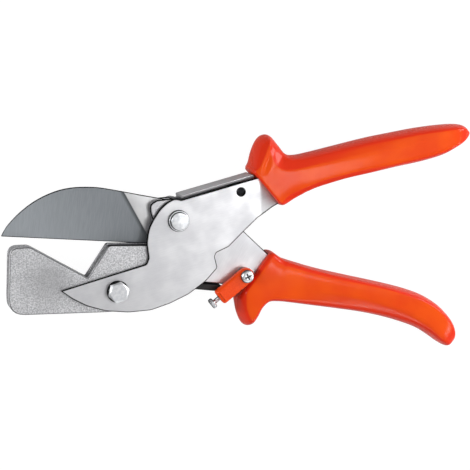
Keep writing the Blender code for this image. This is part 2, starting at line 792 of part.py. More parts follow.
def fork_outline():
    corners = from_shares(fork_head_shares, FORK_LENGTH, FORK_DEPTH)
    for length_share, width_share in lower_tang_shares:
        x, y = on_lower(length_share, width_share)
        corners.append((x, y, GRIP_WIDTH * tang_corner_share))
    corners.append((*on_lower(*fork_mouth_share), 0))
    corners += from_shares([fork_shoulder_share], FORK_LENGTH, FORK_DEPTH)
    return counter_clockwise(rounded(corners))


def lower_rivet_places():
    return [on_lower(*share) for share in lower_rivet_shares]


def lower_rivet_holes():
    return [circle(x, y, RIVET_RADIUS + FIT_GAP) for x, y in lower_rivet_places()]


def make_cheek(name, low, high, fork, catch_hole):
    holes = moving_holes() + lower_rivet_holes()
    if catch_hole:
        holes.append(circle(CATCH_X, CATCH_Y, CATCH_SHANK_RADIUS + FIT_GAP))
    bm = slab(fork_outline(), low, high, holes, EDGE_BREAK)
    return add_object(name, bm, plated_steel, fork)


def make_packing(name, low, high, fork):
    outline = circle(0, -PACKING_DROP, PACKING_RADIUS, ROUND_STEPS)
    return add_object(name, slab(outline, low, high, moving_holes()), plated_steel, fork)


core_head_shares = [
    (0.300, 0.128, 0.05), (0.300, -0.500, 0.05), (0.280, -0.700, 0.02), (0.400, -0.710, 0.02),
]


def core_outline():
    corners = from_shares(core_head_shares, FORK_LENGTH, FORK_DEPTH)
    for length_share, width_share in lower_tang_shares:
        x, y = on_lower(length_share, width_share)
        corners.append((x, y, GRIP_WIDTH * tang_corner_share))
    corners.append((*on_lower(*fork_mouth_share), 0))
    corners += from_shares([fork_shoulder_share], FORK_LENGTH, FORK_DEPTH)
    return grown(counter_clockwise(rounded(corners)), -CORE_INSET)


def make_lower_core(fork):
    holes = lower_rivet_holes()
    holes.append(circle(CATCH_X, CATCH_Y, CATCH_SHANK_RADIUS + FIT_GAP))
    half = cheek_in - FIT_GAP
    return add_object("lower_core", slab(core_outline(), -half, half, holes), dark_plating, fork)


def make_lower_grip(fork):
    bm = grip_solid(lower_grip_shares, on_lower)
    grip = add_object("lower_grip", bm, orange_vinyl, fork, smooth_angle=50)
    half = cheek_out + FIT_GAP
    pocket = helper("lower_pocket", slab(grown(fork_outline(), FIT_GAP), -half, half))
    pocket.parent = fork
    boolean(grip, pocket)
    return grip


# Opening spring, its sleeve and the stop buffer

def make_spring_sleeve():
    outer = SLEEVE_BORE_RADIUS + SLEEVE_WALL
    bm = turned(tube_profile(SLEEVE_BORE_RADIUS, outer, -cheek_out, cheek_out))
    bm = shift(bm, SLEEVE_X, SLEEVE_Y)
    return add_object("spring_sleeve", bm, dark_plating, smooth_angle=40)


leg_shares = (0.33, 0.66, 1.0)


def free_leg_length(start, direction):
    """From the coil to the top of the fork's core, on which the leg's end presses."""
    shoulder = Vector((fork_shoulder_share[0] * FORK_LENGTH, fork_shoulder_share[1] * FORK_DEPTH))
    top = Vector(on_lower(*fork_mouth_share)) - shoulder
    up = Vector((-top.y, top.x)).normalized()
    drop = (start.xy - shoulder).dot(up) + CORE_INSET - SPRING_WIRE / 2
    return drop / -direction.xy.dot(up)


def spring_path():
    """One leg under the web, the turns round the sleeve, one leg down to the fork."""
    start = math.radians(90 + WEB_ANGLE)
    sweep = start + math.radians(SPRING_SPREAD) + math.tau * SPRING_TURNS
    count = math.ceil(SPRING_POINTS * sweep / math.tau)
    centre = Vector((SLEEVE_X, SLEEVE_Y, 0))
    low = -SPRING_PITCH * sweep / math.tau / 2
    turns = []
    for step in range(count + 1):
        turn = start - sweep * step / count
        rise = low + SPRING_PITCH * sweep / math.tau * step / count
        ray = Vector((math.cos(turn), math.sin(turn), 0))
        turns.append(centre + ray * SPRING_RADIUS + Vector((0, 0, rise)))
    leg = Vector((math.sin(start), -math.cos(start), 0))
    last = Vector((math.sin(start - sweep), -math.cos(start - sweep), 0))
    fixed = [turns[0] - leg * SPRING_FIXED_LEG * share for share in reversed(leg_shares)]
    free_leg = free_leg_length(turns[-1], last)
    free = [turns[-1] + last * free_leg * share for share in leg_shares]
    return fixed + turns + free


def least_turn_gap(path):
    """Least distance between wire surfaces of stretches more than half a turn apart."""
    least = math.inf
    for index, here in enumerate(path):
        for there in path[index + SPRING_POINTS // 2 + 1:]:
            least = min(least, (there - here).length)
    return least - SPRING_WIRE


def make_opening_spring():
    path = spring_path()
    curve = bpy.data.curves.new("opening_spring", "CURVE")
    curve.dimensions = "3D"
    curve.bevel_depth = SPRING_WIRE / 2
    curve.bevel_resolution = 1
    curve.use_fill_caps = True
    line = curve.splines.new("POLY")
    line.points.add(len(path) - 1)
    for point, place in zip(line.points, path):
        point.co = (*place, 1)
    curve.materials.append(spring_steel)
    spring = bpy.data.objects.new("opening_spring", curve)
    bpy.context.collection.objects.link(spring)
    spring.parent = pivot_frame
    print("opening_spring least gap between turns, mm:", round(least_turn_gap(path) * 1000, 2))
    return spring


# Along the fork's edge, below it, and the corner's radius
buffer_shares = [(-0.5, 1.0, 0.3), (0.5, 1.0, 0.3), (0.5, 0.0, 0.3), (-0.5, 0.0, 0.3)]


def make_stop_buffer():
    """A block whose top lies against the fork's lower edge."""
    start, end = [Vector((x * FORK_LENGTH, y * FORK_DEPTH)) for x, y, _ in fork_head_shares[-2:]]
    edge = (end - start).normalized()
    down = Vector((edge.y, -edge.x))
    middle = start + edge * (BUFFER_X - start.x) + down * FIT_GAP
    corners = []
    for side, drop, corner_share in buffer_shares:
        place = middle + edge * side * BUFFER_LENGTH + down * drop * BUFFER_HEIGHT
        corners.append((place.x, place.y, corner_share * BUFFER_HEIGHT))
    bm = slab(rounded(corners), -cheek_out, cheek_out, edge=EDGE_BREAK)
    return add_object("stop_buffer", bm, black_rubber)


# Safety catch, pinned to the front cheek

def make_catch_washer(fork):
    bore = CATCH_SHANK_RADIUS + FIT_GAP
    low = cheek_out + FIT_GAP
    bm = turned(tube_profile(bore, PAN_HEAD_RADIUS, low, low + CATCH_LIFT), SMALL_STEPS)
    return add_object("catch_washer", shift(bm, CATCH_X, CATCH_Y), bright_zinc, fork, smooth_angle=40)


# Radius and height up the pan head
pan_head_shares = [(1.0, 0.0), (1.0, 0.45), (0.86, 0.80), (0.50, 1.0), (0.0, 1.0)]
cross_slot_share = 0.14
cross_arm_share = 0.62
cross_depth_share = 0.6


def make_catch_screw(fork):
    seat = catch_high + FIT_GAP
    top = seat + PAN_HEAD_HEIGHT
    foot = FIT_GAP - cheek_in
    profile = [(0, foot), (CATCH_SHANK_RADIUS, foot), (CATCH_SHANK_RADIUS, seat)]
    for radius_share, height_share in pan_head_shares:
        profile.append((radius_share * PAN_HEAD_RADIUS, seat + height_share * PAN_HEAD_HEIGHT))
    bm = shift(turned(profile, SMALL_STEPS), CATCH_X, CATCH_Y)
    screw = add_object("catch_screw", bm, bright_zinc, fork, smooth_angle=40)
    slot_half = PAN_HEAD_RADIUS * cross_slot_share
    arm = PAN_HEAD_RADIUS * cross_arm_share
    cross = [
        (slot_half, -arm), (slot_half, -slot_half), (arm, -slot_half), (arm, slot_half),
        (slot_half, slot_half), (slot_half, arm), (-slot_half, arm), (-slot_half, slot_half),
        (-arm, slot_half), (-arm, -slot_half), (-slot_half, -slot_half), (-slot_half, -arm),
    ]
    recess = slab(cross, top - PAN_HEAD_HEIGHT * cross_depth_share, top + CUT_OVERRUN)
    turn = Matrix.Rotation(math.radians(CROSS_TURN), 3, "Z")
    bmesh.ops.rotate(recess, verts=recess.verts, cent=(0, 0, 0), matrix=turn)
    cutter = helper("cross_recess", shift(recess, CATCH_X, CATCH_Y))
    cutter.parent = fork
    boolean(screw, cutter)
    return screw


def lay_along_catch(bm):
    """Tip a piece turned round +Z so that it lies along the catch, at mid height."""
    tip = Matrix.Rotation(math.pi / 2, 3, "Y")
    bmesh.ops.rotate(bm, verts=bm.verts, cent=(0, 0, 0), matrix=tip)
    shift(bm, 0, 0, (catch_low + catch_high) / 2)
    return bm


def make_catch_lever(catch):
    half = CATCH_WIDTH / 2
    end = circle(0, 0, half, ROUND_STEPS, 90.0)[: ROUND_STEPS // 2 + 1]
    outline = end + [(CATCH_LENGTH, -half), (CATCH_LENGTH, half)]
    hole = circle(0, 0, CATCH_SHANK_RADIUS + FIT_GAP)
    bm = slab(outline, catch_low, catch_high, [hole], CAST_EDGE)
    lever = add_object("catch_lever", bm, orange_vinyl, catch)
    radius = THUMB_SHANK_RADIUS + FIT_GAP
    inner_end = CATCH_LENGTH - THUMB_BORE_DEPTH
    bore = turned(pin_profile(radius, inner_end, CATCH_LENGTH + CUT_OVERRUN), SMALL_STEPS)
    cutter = helper("thumb_bore", lay_along_catch(bore))
    cutter.parent = catch
    boolean(lever, cutter)
    return lever


def make_thumb_screw(catch):
    near = CATCH_LENGTH + THUMB_NECK
    far = near + THUMB_HEAD_THICK
    tip = CATCH_LENGTH - THUMB_BORE_DEPTH + THUMB_TRAVEL + FIT_GAP
    rim = THUMB_HEAD_RADIUS - EDGE_BREAK
    profile = [
        (0, tip), (THUMB_SHANK_RADIUS, tip), (THUMB_SHANK_RADIUS, near), (rim, near),
        (THUMB_HEAD_RADIUS, near + EDGE_BREAK), (THUMB_HEAD_RADIUS, far - EDGE_BREAK),
        (rim, far), (0, far),
    ]
    bm = lay_along_catch(turned(profile, SMALL_STEPS))
    return add_object("thumb_screw", bm, bright_zinc, catch, smooth_angle=40)


# Assembly

def build_fixed_half():
    make_front_plate()
    make_rear_shell()
    make_upper_grip()
    make_rivets("upper_rivet", tang_rivet_places(), tang_in + PLATE_THICK)
    make_anvil()
    make_anvil_bolt()
    make_nut("anvil_nut", ANVIL_BOLT_X, ANVIL_BOLT_Y, ANVIL_BOLT_RADIUS, HEX_FLATS)
    make_anvil_dowel()
    make_pivot_bolt()
    make_nut("pivot_nut", 0, 0, PIVOT_SHANK_RADIUS, PIVOT_NUT_FLATS)
    make_spring_sleeve()
    make_opening_spring()
    make_stop_buffer()


def build_moving_half():
    fork = bpy.data.objects.new("fork_axis", None)
    bpy.context.collection.objects.link(fork)
    fork.parent = pivot_frame
    make_blade(fork)
    make_cheek("front_cheek", cheek_in, cheek_out, fork, True)
    make_cheek("rear_cheek", -cheek_out, -cheek_in, fork, False)
    make_packing("front_packing", packing_in, packing_out, fork)
    make_packing("rear_packing", -packing_out, -packing_in, fork)
    make_pivot_bush(fork)
    make_rivets("blade_rivet", [blade_point(share) for share in blade_rivet_shares], cheek_out, fork)
    make_lower_core(fork)
    make_rivets("lower_rivet", lower_rivet_places(), cheek_out, fork)
    make_lower_grip(fork)
    make_catch_washer(fork)
    make_catch_screw(fork)
    catch = bpy.data.objects.new("catch_axis", None)
    bpy.context.collection.objects.link(catch)
    catch.parent = fork
    catch.location = (CATCH_X, CATCH_Y, 0)
    catch.rotation_euler = (0, 0, math.radians(CATCH_ANGLE))
    make_catch_lever(catch)
    make_thumb_screw(catch)


def stand_on_origin():
    """Centre the tool over the origin and rest its lowest face on the ground plane."""
    bpy.context.view_layer.update()
    depsgraph = bpy.context.evaluated_depsgraph_get()
    low = Vector((math.inf, math.inf, math.inf))
    high = -low
    for piece in bpy.data.objects:
        if piece.type == "EMPTY" or piece.hide_render:
            continue
        solid = piece.evaluated_get(depsgraph)
        mesh = solid.to_mesh()
        for vert in mesh.vertices:
            place = piece.matrix_world @ vert.co
            low = Vector(map(min, low, place))
            high = Vector(map(max, high, place))
        solid.to_mesh_clear()
    middle = (low + high) / 2
    pivot_frame.location = (-middle.x, -middle.y, -low.z)
    print("size, mm:", [round(side * 1000, 2) for side in high - low])
    print("cutting pivot at, mm:", [round(side * 1000, 3) for side in pivot_frame.location])


build_fixed_half()
build_moving_half()
stand_on_origin()
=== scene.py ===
import json
import math

import bmesh
import bpy
import numpy as np
from mathutils import Matrix, Vector
from mathutils.geometry import tessellate_polygon

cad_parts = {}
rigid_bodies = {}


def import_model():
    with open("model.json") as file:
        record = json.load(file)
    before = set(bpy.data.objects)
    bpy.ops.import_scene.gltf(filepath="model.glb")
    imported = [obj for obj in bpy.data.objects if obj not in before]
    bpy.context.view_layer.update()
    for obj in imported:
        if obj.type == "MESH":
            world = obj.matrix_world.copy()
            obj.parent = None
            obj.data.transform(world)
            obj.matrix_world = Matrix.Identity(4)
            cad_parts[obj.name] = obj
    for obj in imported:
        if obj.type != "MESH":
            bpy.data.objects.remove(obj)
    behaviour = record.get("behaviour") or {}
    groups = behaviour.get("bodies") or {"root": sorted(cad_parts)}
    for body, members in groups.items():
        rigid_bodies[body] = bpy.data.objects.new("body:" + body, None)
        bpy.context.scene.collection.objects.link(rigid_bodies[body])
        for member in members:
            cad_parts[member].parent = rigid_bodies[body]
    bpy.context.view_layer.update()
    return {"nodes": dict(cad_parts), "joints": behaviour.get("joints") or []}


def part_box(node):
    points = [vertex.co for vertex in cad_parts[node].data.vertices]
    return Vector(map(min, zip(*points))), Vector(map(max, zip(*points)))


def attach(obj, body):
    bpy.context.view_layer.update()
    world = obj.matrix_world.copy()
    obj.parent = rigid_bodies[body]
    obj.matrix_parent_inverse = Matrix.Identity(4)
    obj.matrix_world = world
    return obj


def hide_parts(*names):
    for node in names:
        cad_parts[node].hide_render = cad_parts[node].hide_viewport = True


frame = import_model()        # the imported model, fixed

mm = 0.001
tiny = 1e-9              # keeps a division away from zero
joints = {joint["name"]: joint for joint in frame["joints"]}
pivot = np.array(joints["cutting_pivot"]["pos_m"])      # on the middle plane of the tool
catchPivot = np.array(joints["catch_swing"]["pos_m"])
fixedBody = joints["cutting_pivot"]["parent"]
movingBody = joints["cutting_pivot"]["child"]
catchBody = joints["catch_swing"]["child"]
thumbBody = joints["thumb_screw_travel"]["child"]


# Camera: the photograph's view, from above the front plate and a little to the jaw side

viewpoint = {
    "target": (-1.7, 0.1, 11.0),        # mm, seen at the middle of the picture
    "towardsCamera": (-0.245, 0.13, 1.0),
    "distance": 1150.0,                 # mm
    "widthSeen": 246.05,                # mm across the picture at the target
    "sensor": 36.0,                     # mm
    "nearest": 10.0,                    # mm
}


def makeCamera(spec):
    # Lens = sensor x distance / width seen; the tool's X points to the picture's right
    back = Vector(spec["towardsCamera"]).normalized()
    up = back.cross(Vector((1, 0, 0))).normalized()
    right = up.cross(back)
    camera = bpy.data.objects.new("camera", bpy.data.cameras.new("camera"))
    bpy.context.scene.collection.objects.link(camera)
    camera.data.sensor_width = spec["sensor"]
    camera.data.lens = spec["sensor"] * spec["distance"] / spec["widthSeen"]
    camera.data.clip_start = spec["nearest"] * mm
    place = Vector(spec["target"]) * mm + back * spec["distance"] * mm
    camera.matrix_world = Matrix.Translation(place) @ Matrix((right, up, back)).transposed().to_4x4()
    bpy.context.scene.camera = camera


makeCamera(viewpoint)
print("camera set")


# Material helpers

def linearColour(hexColour):
    # An sRGB hex colour as linear red, green, blue and alpha, by the sRGB curve
    channels = [int(hexColour[start:start + 2], 16) / 255 for start in (1, 3, 5)]
    linear = [c / 12.92 if c <= 0.04045 else ((c + 0.055) / 1.055) ** 2.4 for c in channels]
    return (*linear, 1.0)


def feed(tree, node, inputs):
    # Sets a node's attributes and sockets. A socket takes a value, another socket or a node,
    # which gives its first working output.
    for key, value in inputs.items():
        if isinstance(value, bpy.types.Node):
            value = next(socket for socket in value.outputs if socket.enabled)
        if isinstance(value, bpy.types.NodeSocket):
            tree.links.new(value, node.inputs[key])
        elif isinstance(key, str) and hasattr(node, key):
            setattr(node, key, value)
        else:
            node.inputs[key].default_value = linearColour(value) if isinstance(value, str) else value
    return node


def addNode(tree, kind, inputs=None):
    # A new shader node, fed with its inputs
    return feed(tree, tree.nodes.new("ShaderNode" + kind), inputs or {})


def worked(tree, operation, *values):
    # A math node: the operation on one, two or three numbers, sockets or nodes
    return addNode(tree, "Math", {"operation": operation, **dict(enumerate(values))})


def ramp(tree, value, span, levels=(0.0, 1.0)):
    # A smooth step from the first level, where the value starts the span, to the second
    bounds = dict(enumerate((value, *span, *levels)))
    return addNode(tree, "MapRange", {"interpolation_type": "SMOOTHSTEP", **bounds})


def mixed(tree, share, first, second):
    # From the first colour to the second, each a hex colour or a node
    return addNode(tree, "Mix", {"data_type": "RGBA", 0: share, 6: first, 7: second})


def mixedLevel(tree, share, first, second):
    # From the first number to the second, each a number or a node
    return addNode(tree, "Mix", {"data_type": "FLOAT", 0: share, 2: first, 3: second})


def newMaterial(name, constants):
    # A material with constants on its shader, and the Object coordinates for its patterns
    material = bpy.data.materials.new(name)
    material.use_nodes = True
    tree = material.node_tree
    feed(tree, tree.nodes["Principled BSDF"], constants)
    return material, tree, addNode(tree, "TexCoord").outputs["Object"]


def finished(material, colour, rough, height, depthMm):
    # Feeds the shader its colour, its roughness where that varies, and a bump depthMm deep
    tree = material.node_tree
    bump = addNode(tree, "Bump", {"Distance": depthMm * mm, "Height": height})
    varying = {"Roughness": rough} if rough else {}
    feed(tree, tree.nodes["Principled BSDF"], {"Base Color": colour, "Normal": bump, **varying})
    return material


noiseSpan = (0.3, 0.7)                   # holds most of a noise


def grainNoise(tree, where, sizeMm, turn=0.0, detail=2.0):
    # Noise whose features measure sizeMm (all ways, or along, across, deep), turned about +Z
    turned = addNode(tree, "Mapping", {"vector_type": "TEXTURE", "Vector": where,
                                       "Rotation": (0, 0, math.radians(turn))})
    scale = 1 / (np.broadcast_to(sizeMm, 3) * mm)
    spread = addNode(tree, "Mapping", {"Vector": turned, "Scale": tuple(scale)})
    return addNode(tree, "TexNoise", {"Vector": spread, "Scale": 1.0, "Detail": detail})


def normalPart(tree, axis):
    # One part of the surface's normal: X, Y or Z
    normal = addNode(tree, "NewGeometry").outputs["Normal"]
    return addNode(tree, "SeparateXYZ", {0: normal}).outputs[axis]


def onWalls(tree, slant):
    # 1 where a surface stands upright, 0 where it lies flat, by the height of its normal
    return ramp(tree, worked(tree, "ABSOLUTE", normalPart(tree, "Z")), slant, (1.0, 0.0))


# Nickel-plated steel sheet, linished before plating: bright, with a fine grain along one way
# and slow clouds where the belt ran lighter. Its upright edges are rough and painted nearly
# black as shade; on the shell they are painted a lighter grey as shade. The grain is drawn
# about four times as coarse as the real one, which wouldn't show.

nickelLook = {
    "bright": "#ECECEE", "dull": "#CDCDD1", "grainMm": (5.0, 0.45, 5.0), "grainShare": 0.4,
    "cloudMm": 12.0, "cloudLevels": (0.1, 0.6), "roughSpan": (0.2, 0.9), "roughLevels": (0.44, 0.36),
    "grainDepthMm": 0.004, "paintedEdgeShade": "#0E0E0F", "paintedShellShade": "#BEBEC0",
    "edgeSlant": (0.88, 0.998), "edgeRough": 0.85, "plateTurn": 16.0, "forkTurn": 60.0,
}


def linishedNickel(name, turn, edge):
    # Tone = grain x its share + cloud, from dull and rough to bright and smooth
    look = nickelLook
    material, tree, where = newMaterial(name, {"Metallic": 1.0})
    grain = grainNoise(tree, where, look["grainMm"], turn)
    cloud = ramp(tree, grainNoise(tree, where, look["cloudMm"]), noiseSpan, look["cloudLevels"])
    tone = worked(tree, "MULTIPLY_ADD", grain, look["grainShare"], cloud)
    # Upright walls take the edge colour: painted shade that draws the dark outline
    walls = onWalls(tree, look["edgeSlant"])
    colour = mixed(tree, walls, mixed(tree, tone, look["dull"], look["bright"]), edge)
    rough = ramp(tree, tone, look["roughSpan"], look["roughLevels"])
    rough = mixedLevel(tree, walls, rough, look["edgeRough"])
    return finished(material, colour, rough, grain, look["grainDepthMm"])


# Ground tool steel: the blade's face has a grey low-friction coat with fine grinding lines
# square to the edge, and a band of painted shade where the face curves at the wheel's run-out;
# behind that line the steel is bright. The coat is paler towards the tip, and upright walls
# along the blade's back are painted nearly black as shade.

bladeLook = {
    "lineLow": (-16.4, -5.0), "lineTop": (-27.4, 13.8),      # mm from the pivot
    "runoutMm": (-2.6, -0.4), "lineSoftMm": (-0.5, 0.1), "tipPaleMm": (-62.0, 0.0),
    "coat": "#95999E", "coatDark": "#8E9397", "runoutShade": "#5C5F62", "spine": "#0A0A0B",
    "tipPale": "#B6BBC0", "tipPaleDark": "#AEB3B8", "tangBright": "#EDEDEE", "tangDull": "#D6D6D8",
    "linesMm": (7.0, 0.5, 7.0), "linesTurn": 84.0, "lineDepthMm": 0.006, "cloudMm": 14.0, "cloudDetail": 3.0,
    "coatRough": 0.42, "tangRough": 0.32, "spineRough": 0.85,
    "spineSlant": (0.90, 0.995),                             # heights of the normal
}


def groundBladeSteel():
    # Each tone goes by the distance past the line where the coat ends: place . normal - offset
    look = bladeLook
    material, tree, where = newMaterial("coated ground tool steel", {"Metallic": 1.0})
    low = np.array(look["lineLow"]) * mm + pivot[:2]
    top = np.array(look["lineTop"]) * mm + pivot[:2]
    rise = (top - low) / np.linalg.norm(top - low)
    aside = np.array((rise[1], -rise[0]))                   # towards the handles
    side = addNode(tree, "VectorMath", {"operation": "DOT_PRODUCT", 0: where, 1: (*aside, 0.0)})
    past = worked(tree, "SUBTRACT", side, float(low @ aside))
    awayFromTip, band, onTang = (ramp(tree, past, np.array(look[part]) * mm)
                           for part in ("tipPaleMm", "runoutMm", "lineSoftMm"))
    lines = grainNoise(tree, where, look["linesMm"], look["linesTurn"])
    cloud = grainNoise(tree, where, look["cloudMm"], 0.0, look["cloudDetail"])
    lined = ramp(tree, lines, noiseSpan)
    coat = mixed(tree, awayFromTip, mixed(tree, lined, look["tipPaleDark"], look["tipPale"]),
                 mixed(tree, lined, look["coatDark"], look["coat"]))
    # A band of painted shade where the ground face curves at the wheel's run-out
    coat = mixed(tree, band, coat, look["runoutShade"])
    tang = mixed(tree, ramp(tree, cloud, noiseSpan), look["tangDull"], look["tangBright"])
    # Upright walls are painted nearly black, as shade along the blade's back
    walls = onWalls(tree, look["spineSlant"])
    colour = mixed(tree, walls, mixed(tree, onTang, coat, tang), look["spine"])
    rough = mixedLevel(tree, onTang, look["coatRough"], look["tangRough"])
    rough = mixedLevel(tree, walls, rough, look["spineRough"])
    return finished(material, colour, rough, lines, look["lineDepthMm"])


# Bead-blasted casting: matt grey with dark and light specks where the beads struck, and a soft
# darker patch on the face; its rims carry a dark line of painted shade, and painted shade
# blackens the wall under the heel of the blade. The specks are drawn about three times as
# coarse as the real ones, which wouldn't show.

castLook = {
    "light": "#F8F8FA", "dark": "#A0A0A4", "speckMm": 0.72, "speckDetail": 4.0, "speckShare": 0.7,
    "cloudMm": 6.0, "cloudShare": 0.35, "metallic": 0.85, "roughness": 0.44, "depthMm": 0.05,
    "rimShadeLine": "#303032", "rimSlant": (0.86, 0.990), "wallSlant": (0.55, 0.82),
    "darkPatch": "#6E6E70", "darkPatchAt": (-66.0, -31.0), "darkPatchMm": 19.0, "darkPatchShare": 0.65,
    "heelShade": "#1A1A1B", "heelMm": (-44.0, -36.0), "heelShadeFacing": (0.3, 0.7),
}


def blastedCasting():
    # Specks + cloud x its share, then three darker tones laid over: the dark patch fades with
    # the distance from its middle, the painted shade line of the rims lies between two slants,
    # and the painted shade under the heel is on walls that face the blade
    look = castLook
    material, tree, where = newMaterial("bead blasted casting", {
        "Metallic": look["metallic"], "Roughness": look["roughness"]})
    speck = grainNoise(tree, where, look["speckMm"], 0.0, look["speckDetail"])
    cloud = grainNoise(tree, where, look["cloudMm"])
    specks = ramp(tree, speck, noiseSpan, (0.0, look["speckShare"]))
    tone = worked(tree, "MULTIPLY_ADD", cloud, look["cloudShare"], specks)
    colour = mixed(tree, tone, look["dark"], look["light"])
    darkPatch = (*(np.array(look["darkPatchAt"]) * mm + pivot[:2]), 0.0)
    flatPlace = addNode(tree, "VectorMath", {"operation": "MULTIPLY", 0: where, 1: (1, 1, 0)})
    away = addNode(tree, "VectorMath", {"operation": "DISTANCE", 0: flatPlace, 1: darkPatch})
    near = ramp(tree, away, (0.0, look["darkPatchMm"] * mm), (look["darkPatchShare"], 0.0))
    patchMottled = worked(tree, "MULTIPLY", near, speck)
    # Painted shade: a dark line along the rims, between two heights of the normal
    rim = addNode(tree, "Math", {"operation": "SUBTRACT", "use_clamp": True,
                                 0: onWalls(tree, look["rimSlant"]), 1: onWalls(tree, look["wallSlant"])})
    # Painted shade under the heel of the blade, on walls that face it
    alongTool = addNode(tree, "SeparateXYZ", {0: where}).outputs["X"]
    heel = ramp(tree, alongTool, np.array(look["heelMm"]) * mm + pivot[0])
    shadedUnderHeel = worked(tree, "MULTIPLY", heel, ramp(tree, normalPart(tree, "Y"), look["heelShadeFacing"]))
    for part, share in (("darkPatch", patchMottled), ("rimShadeLine", rim), ("heelShade", shadedUnderHeel)):
        colour = mixed(tree, share, colour, look[part])
    return finished(material, colour, None, speck, look["depthMm"])


# Bright zinc plate on turned steel: satin, slightly blue, with faint tool marks; its upright
# sides are painted nearly black as shade, and its recess is painted darker as shade.

zincLook = {
    "bright": "#F6F7F9", "dull": "#DDDFE3", "side": "#2A2B2D", "sideSlant": (0.50, 0.74),
    "roughLevels": (0.45, 0.32), "cloudMm": 1.8, "cloudDetail": 4.0, "depthMm": 0.012,
    "recessShade": "#77787B", "recessShadeSoftMm": (-0.15, 0.05), "recessMm": 15.85,     # above the middle plane
}


def brightZinc(name, shadeBelowMm=None):
    # Dull to bright by the clouds, then painted shade on walls and, where a height is given, below it
    look = zincLook
    material, tree, where = newMaterial(name, {"Metallic": 1.0})
    cloud = grainNoise(tree, where, look["cloudMm"], 0.0, look["cloudDetail"])
    face = mixed(tree, ramp(tree, cloud, noiseSpan), look["dull"], look["bright"])
    # Painted shade, nearly black, on the upright sides
    colour = mixed(tree, onWalls(tree, look["sideSlant"]), face, look["side"])
    # Painted shade in the recess, below the given height
    if shadeBelowMm is not None:
        height = addNode(tree, "SeparateXYZ", {0: where}).outputs["Z"]
        span = (np.array(look["recessShadeSoftMm"]) + shadeBelowMm) * mm + pivot[2]
        colour = mixed(tree, ramp(tree, height, span, (1.0, 0.0)), colour, look["recessShade"])
    rough = ramp(tree, cloud, noiseSpan, look["roughLevels"])
    return finished(material, colour, rough, cloud, look["depthMm"])


# Dip-moulded vinyl: a thick glossy skin of plastisol, with its slopes and sides painted deeper
# and redder as shade, slow waves from the draining and the finest orange peel

vinylLook = {
    "thick": "#E84612", "thin": "#F05410", "slope": "#E6361A", "slopeSlant": (0.88, 0.985),
    "side": "#E23812", "sideSlant": (0.05, 0.45), "sideRough": 0.30, "patchMm": 17.0, "peelMm": 1.6,
    "roughLevels": (0.13, 0.22), "waveMm": 6.0, "waveDepthMm": 0.05, "waveDetail": 1.0,
    "ior": 1.53, "specular": 0.13,
}


def dippedVinyl():
    # Thick to thin by patches, then the slope's and the side's painted shade by the normal's height
    look = vinylLook
    material, tree, where = newMaterial("dipped vinyl", {
        "Metallic": 0.0, "IOR": look["ior"], "Specular IOR Level": look["specular"]})
    patch = grainNoise(tree, where, look["patchMm"])
    peel = grainNoise(tree, where, look["peelMm"], 0.0, look["waveDetail"])
    wave = grainNoise(tree, where, look["waveMm"], 0.0, look["waveDetail"])
    colour = mixed(tree, ramp(tree, patch, noiseSpan), look["thick"], look["thin"])
    # Slopes and sides are painted deeper and redder as shade, by the normal's height
    for part in ("slope", "side"):
        slanting = onWalls(tree, look[part + "Slant"])
        colour = mixed(tree, slanting, colour, look[part])
    rough = mixedLevel(tree, slanting, ramp(tree, peel, noiseSpan, look["roughLevels"]), look["sideRough"])
    return finished(material, colour, rough, wave, look["waveDepthMm"])


# Plainer finishes have two tones in one grain. The catch is injection-moulded nylon, satin
# with the faint texture of its mould; beside it black rubber, a steel washer painted black as
# the shade under the hex head, drawn spring wire, sintered bronze and grey-plated steel. Each
# holds: dark tone, light tone, metallic, roughness, specular level, grain in mm, depth in mm.

plainLooks = {
    "moulded nylon": ("#EE4208", "#F65010", 0.0, 0.30, 0.25, 0.8, 0.012),
    "moulded black rubber": ("#0C0C0C", "#1A1A1A", 0.0, 0.38, 0.5, 0.8, 0.010),
    "steel washer in painted shade": ("#121213", "#1E1E20", 0.6, 0.40, 0.5, 0.7, 0.006),
    "drawn spring wire": ("#77797C", "#93959A", 1.0, 0.25, 0.5, 1.5, 0.004),
    "sintered bronze": ("#A87E45", "#C49A5C", 1.0, 0.35, 0.5, 0.6, 0.010),
    "grey plated steel": ("#8E8F93", "#A4A5A9", 1.0, 0.34, 0.5, 3.0, 0.006),
}
plainDetail = 4.0
roughnessVaries = 0.1


def plainFinish(name):
    # Dark to light, and smooth to a little rougher, by one noise
    dark, light, metallic, roughness, specular, grainMm, depthMm = plainLooks[name]
    material, tree, where = newMaterial(name, {"Metallic": metallic, "Specular IOR Level": specular})
    grain = grainNoise(tree, where, grainMm, 0.0, plainDetail)
    colour = mixed(tree, ramp(tree, grain, noiseSpan), dark, light)
    rough = ramp(tree, grain, noiseSpan, (roughness, roughness + roughnessVaries))
    return finished(material, colour, rough, grain, depthMm)


plateNickel = linishedNickel("linished nickel plate", nickelLook["plateTurn"], nickelLook["paintedEdgeShade"])
shellNickel = linishedNickel("linished nickel shell", nickelLook["plateTurn"], nickelLook["paintedShellShade"])
forkNickel = linishedNickel("linished nickel fork", nickelLook["forkTurn"], nickelLook["paintedEdgeShade"])
bladeSteel = groundBladeSteel()
castGrey = blastedCasting()
zinc = brightZinc("bright zinc plate")
crossZinc = brightZinc("bright zinc cross recess", zincLook["recessMm"])
vinyl = dippedVinyl()
nylon, rubber, shadedWasher, springWire, bushBronze, greyPlate = (plainFinish(name) for name in plainLooks)
print("materials made")


# Mesh helpers: every shape is worked out as one array of points, in mm from the cutting
# pivot, and joined as a grid

meshDetail = {
    "around": 64, "cornerSteps": 5,
    "mergeMm": 0.002,                   # points this close are one
    "leastStepMm": 0.01,                # between the points of an outline
    "leastCosine": 0.4,                 # holds back the points of sharp corners
    "overrunMm": 1.0,                   # by which a cut passes the face it starts from
}


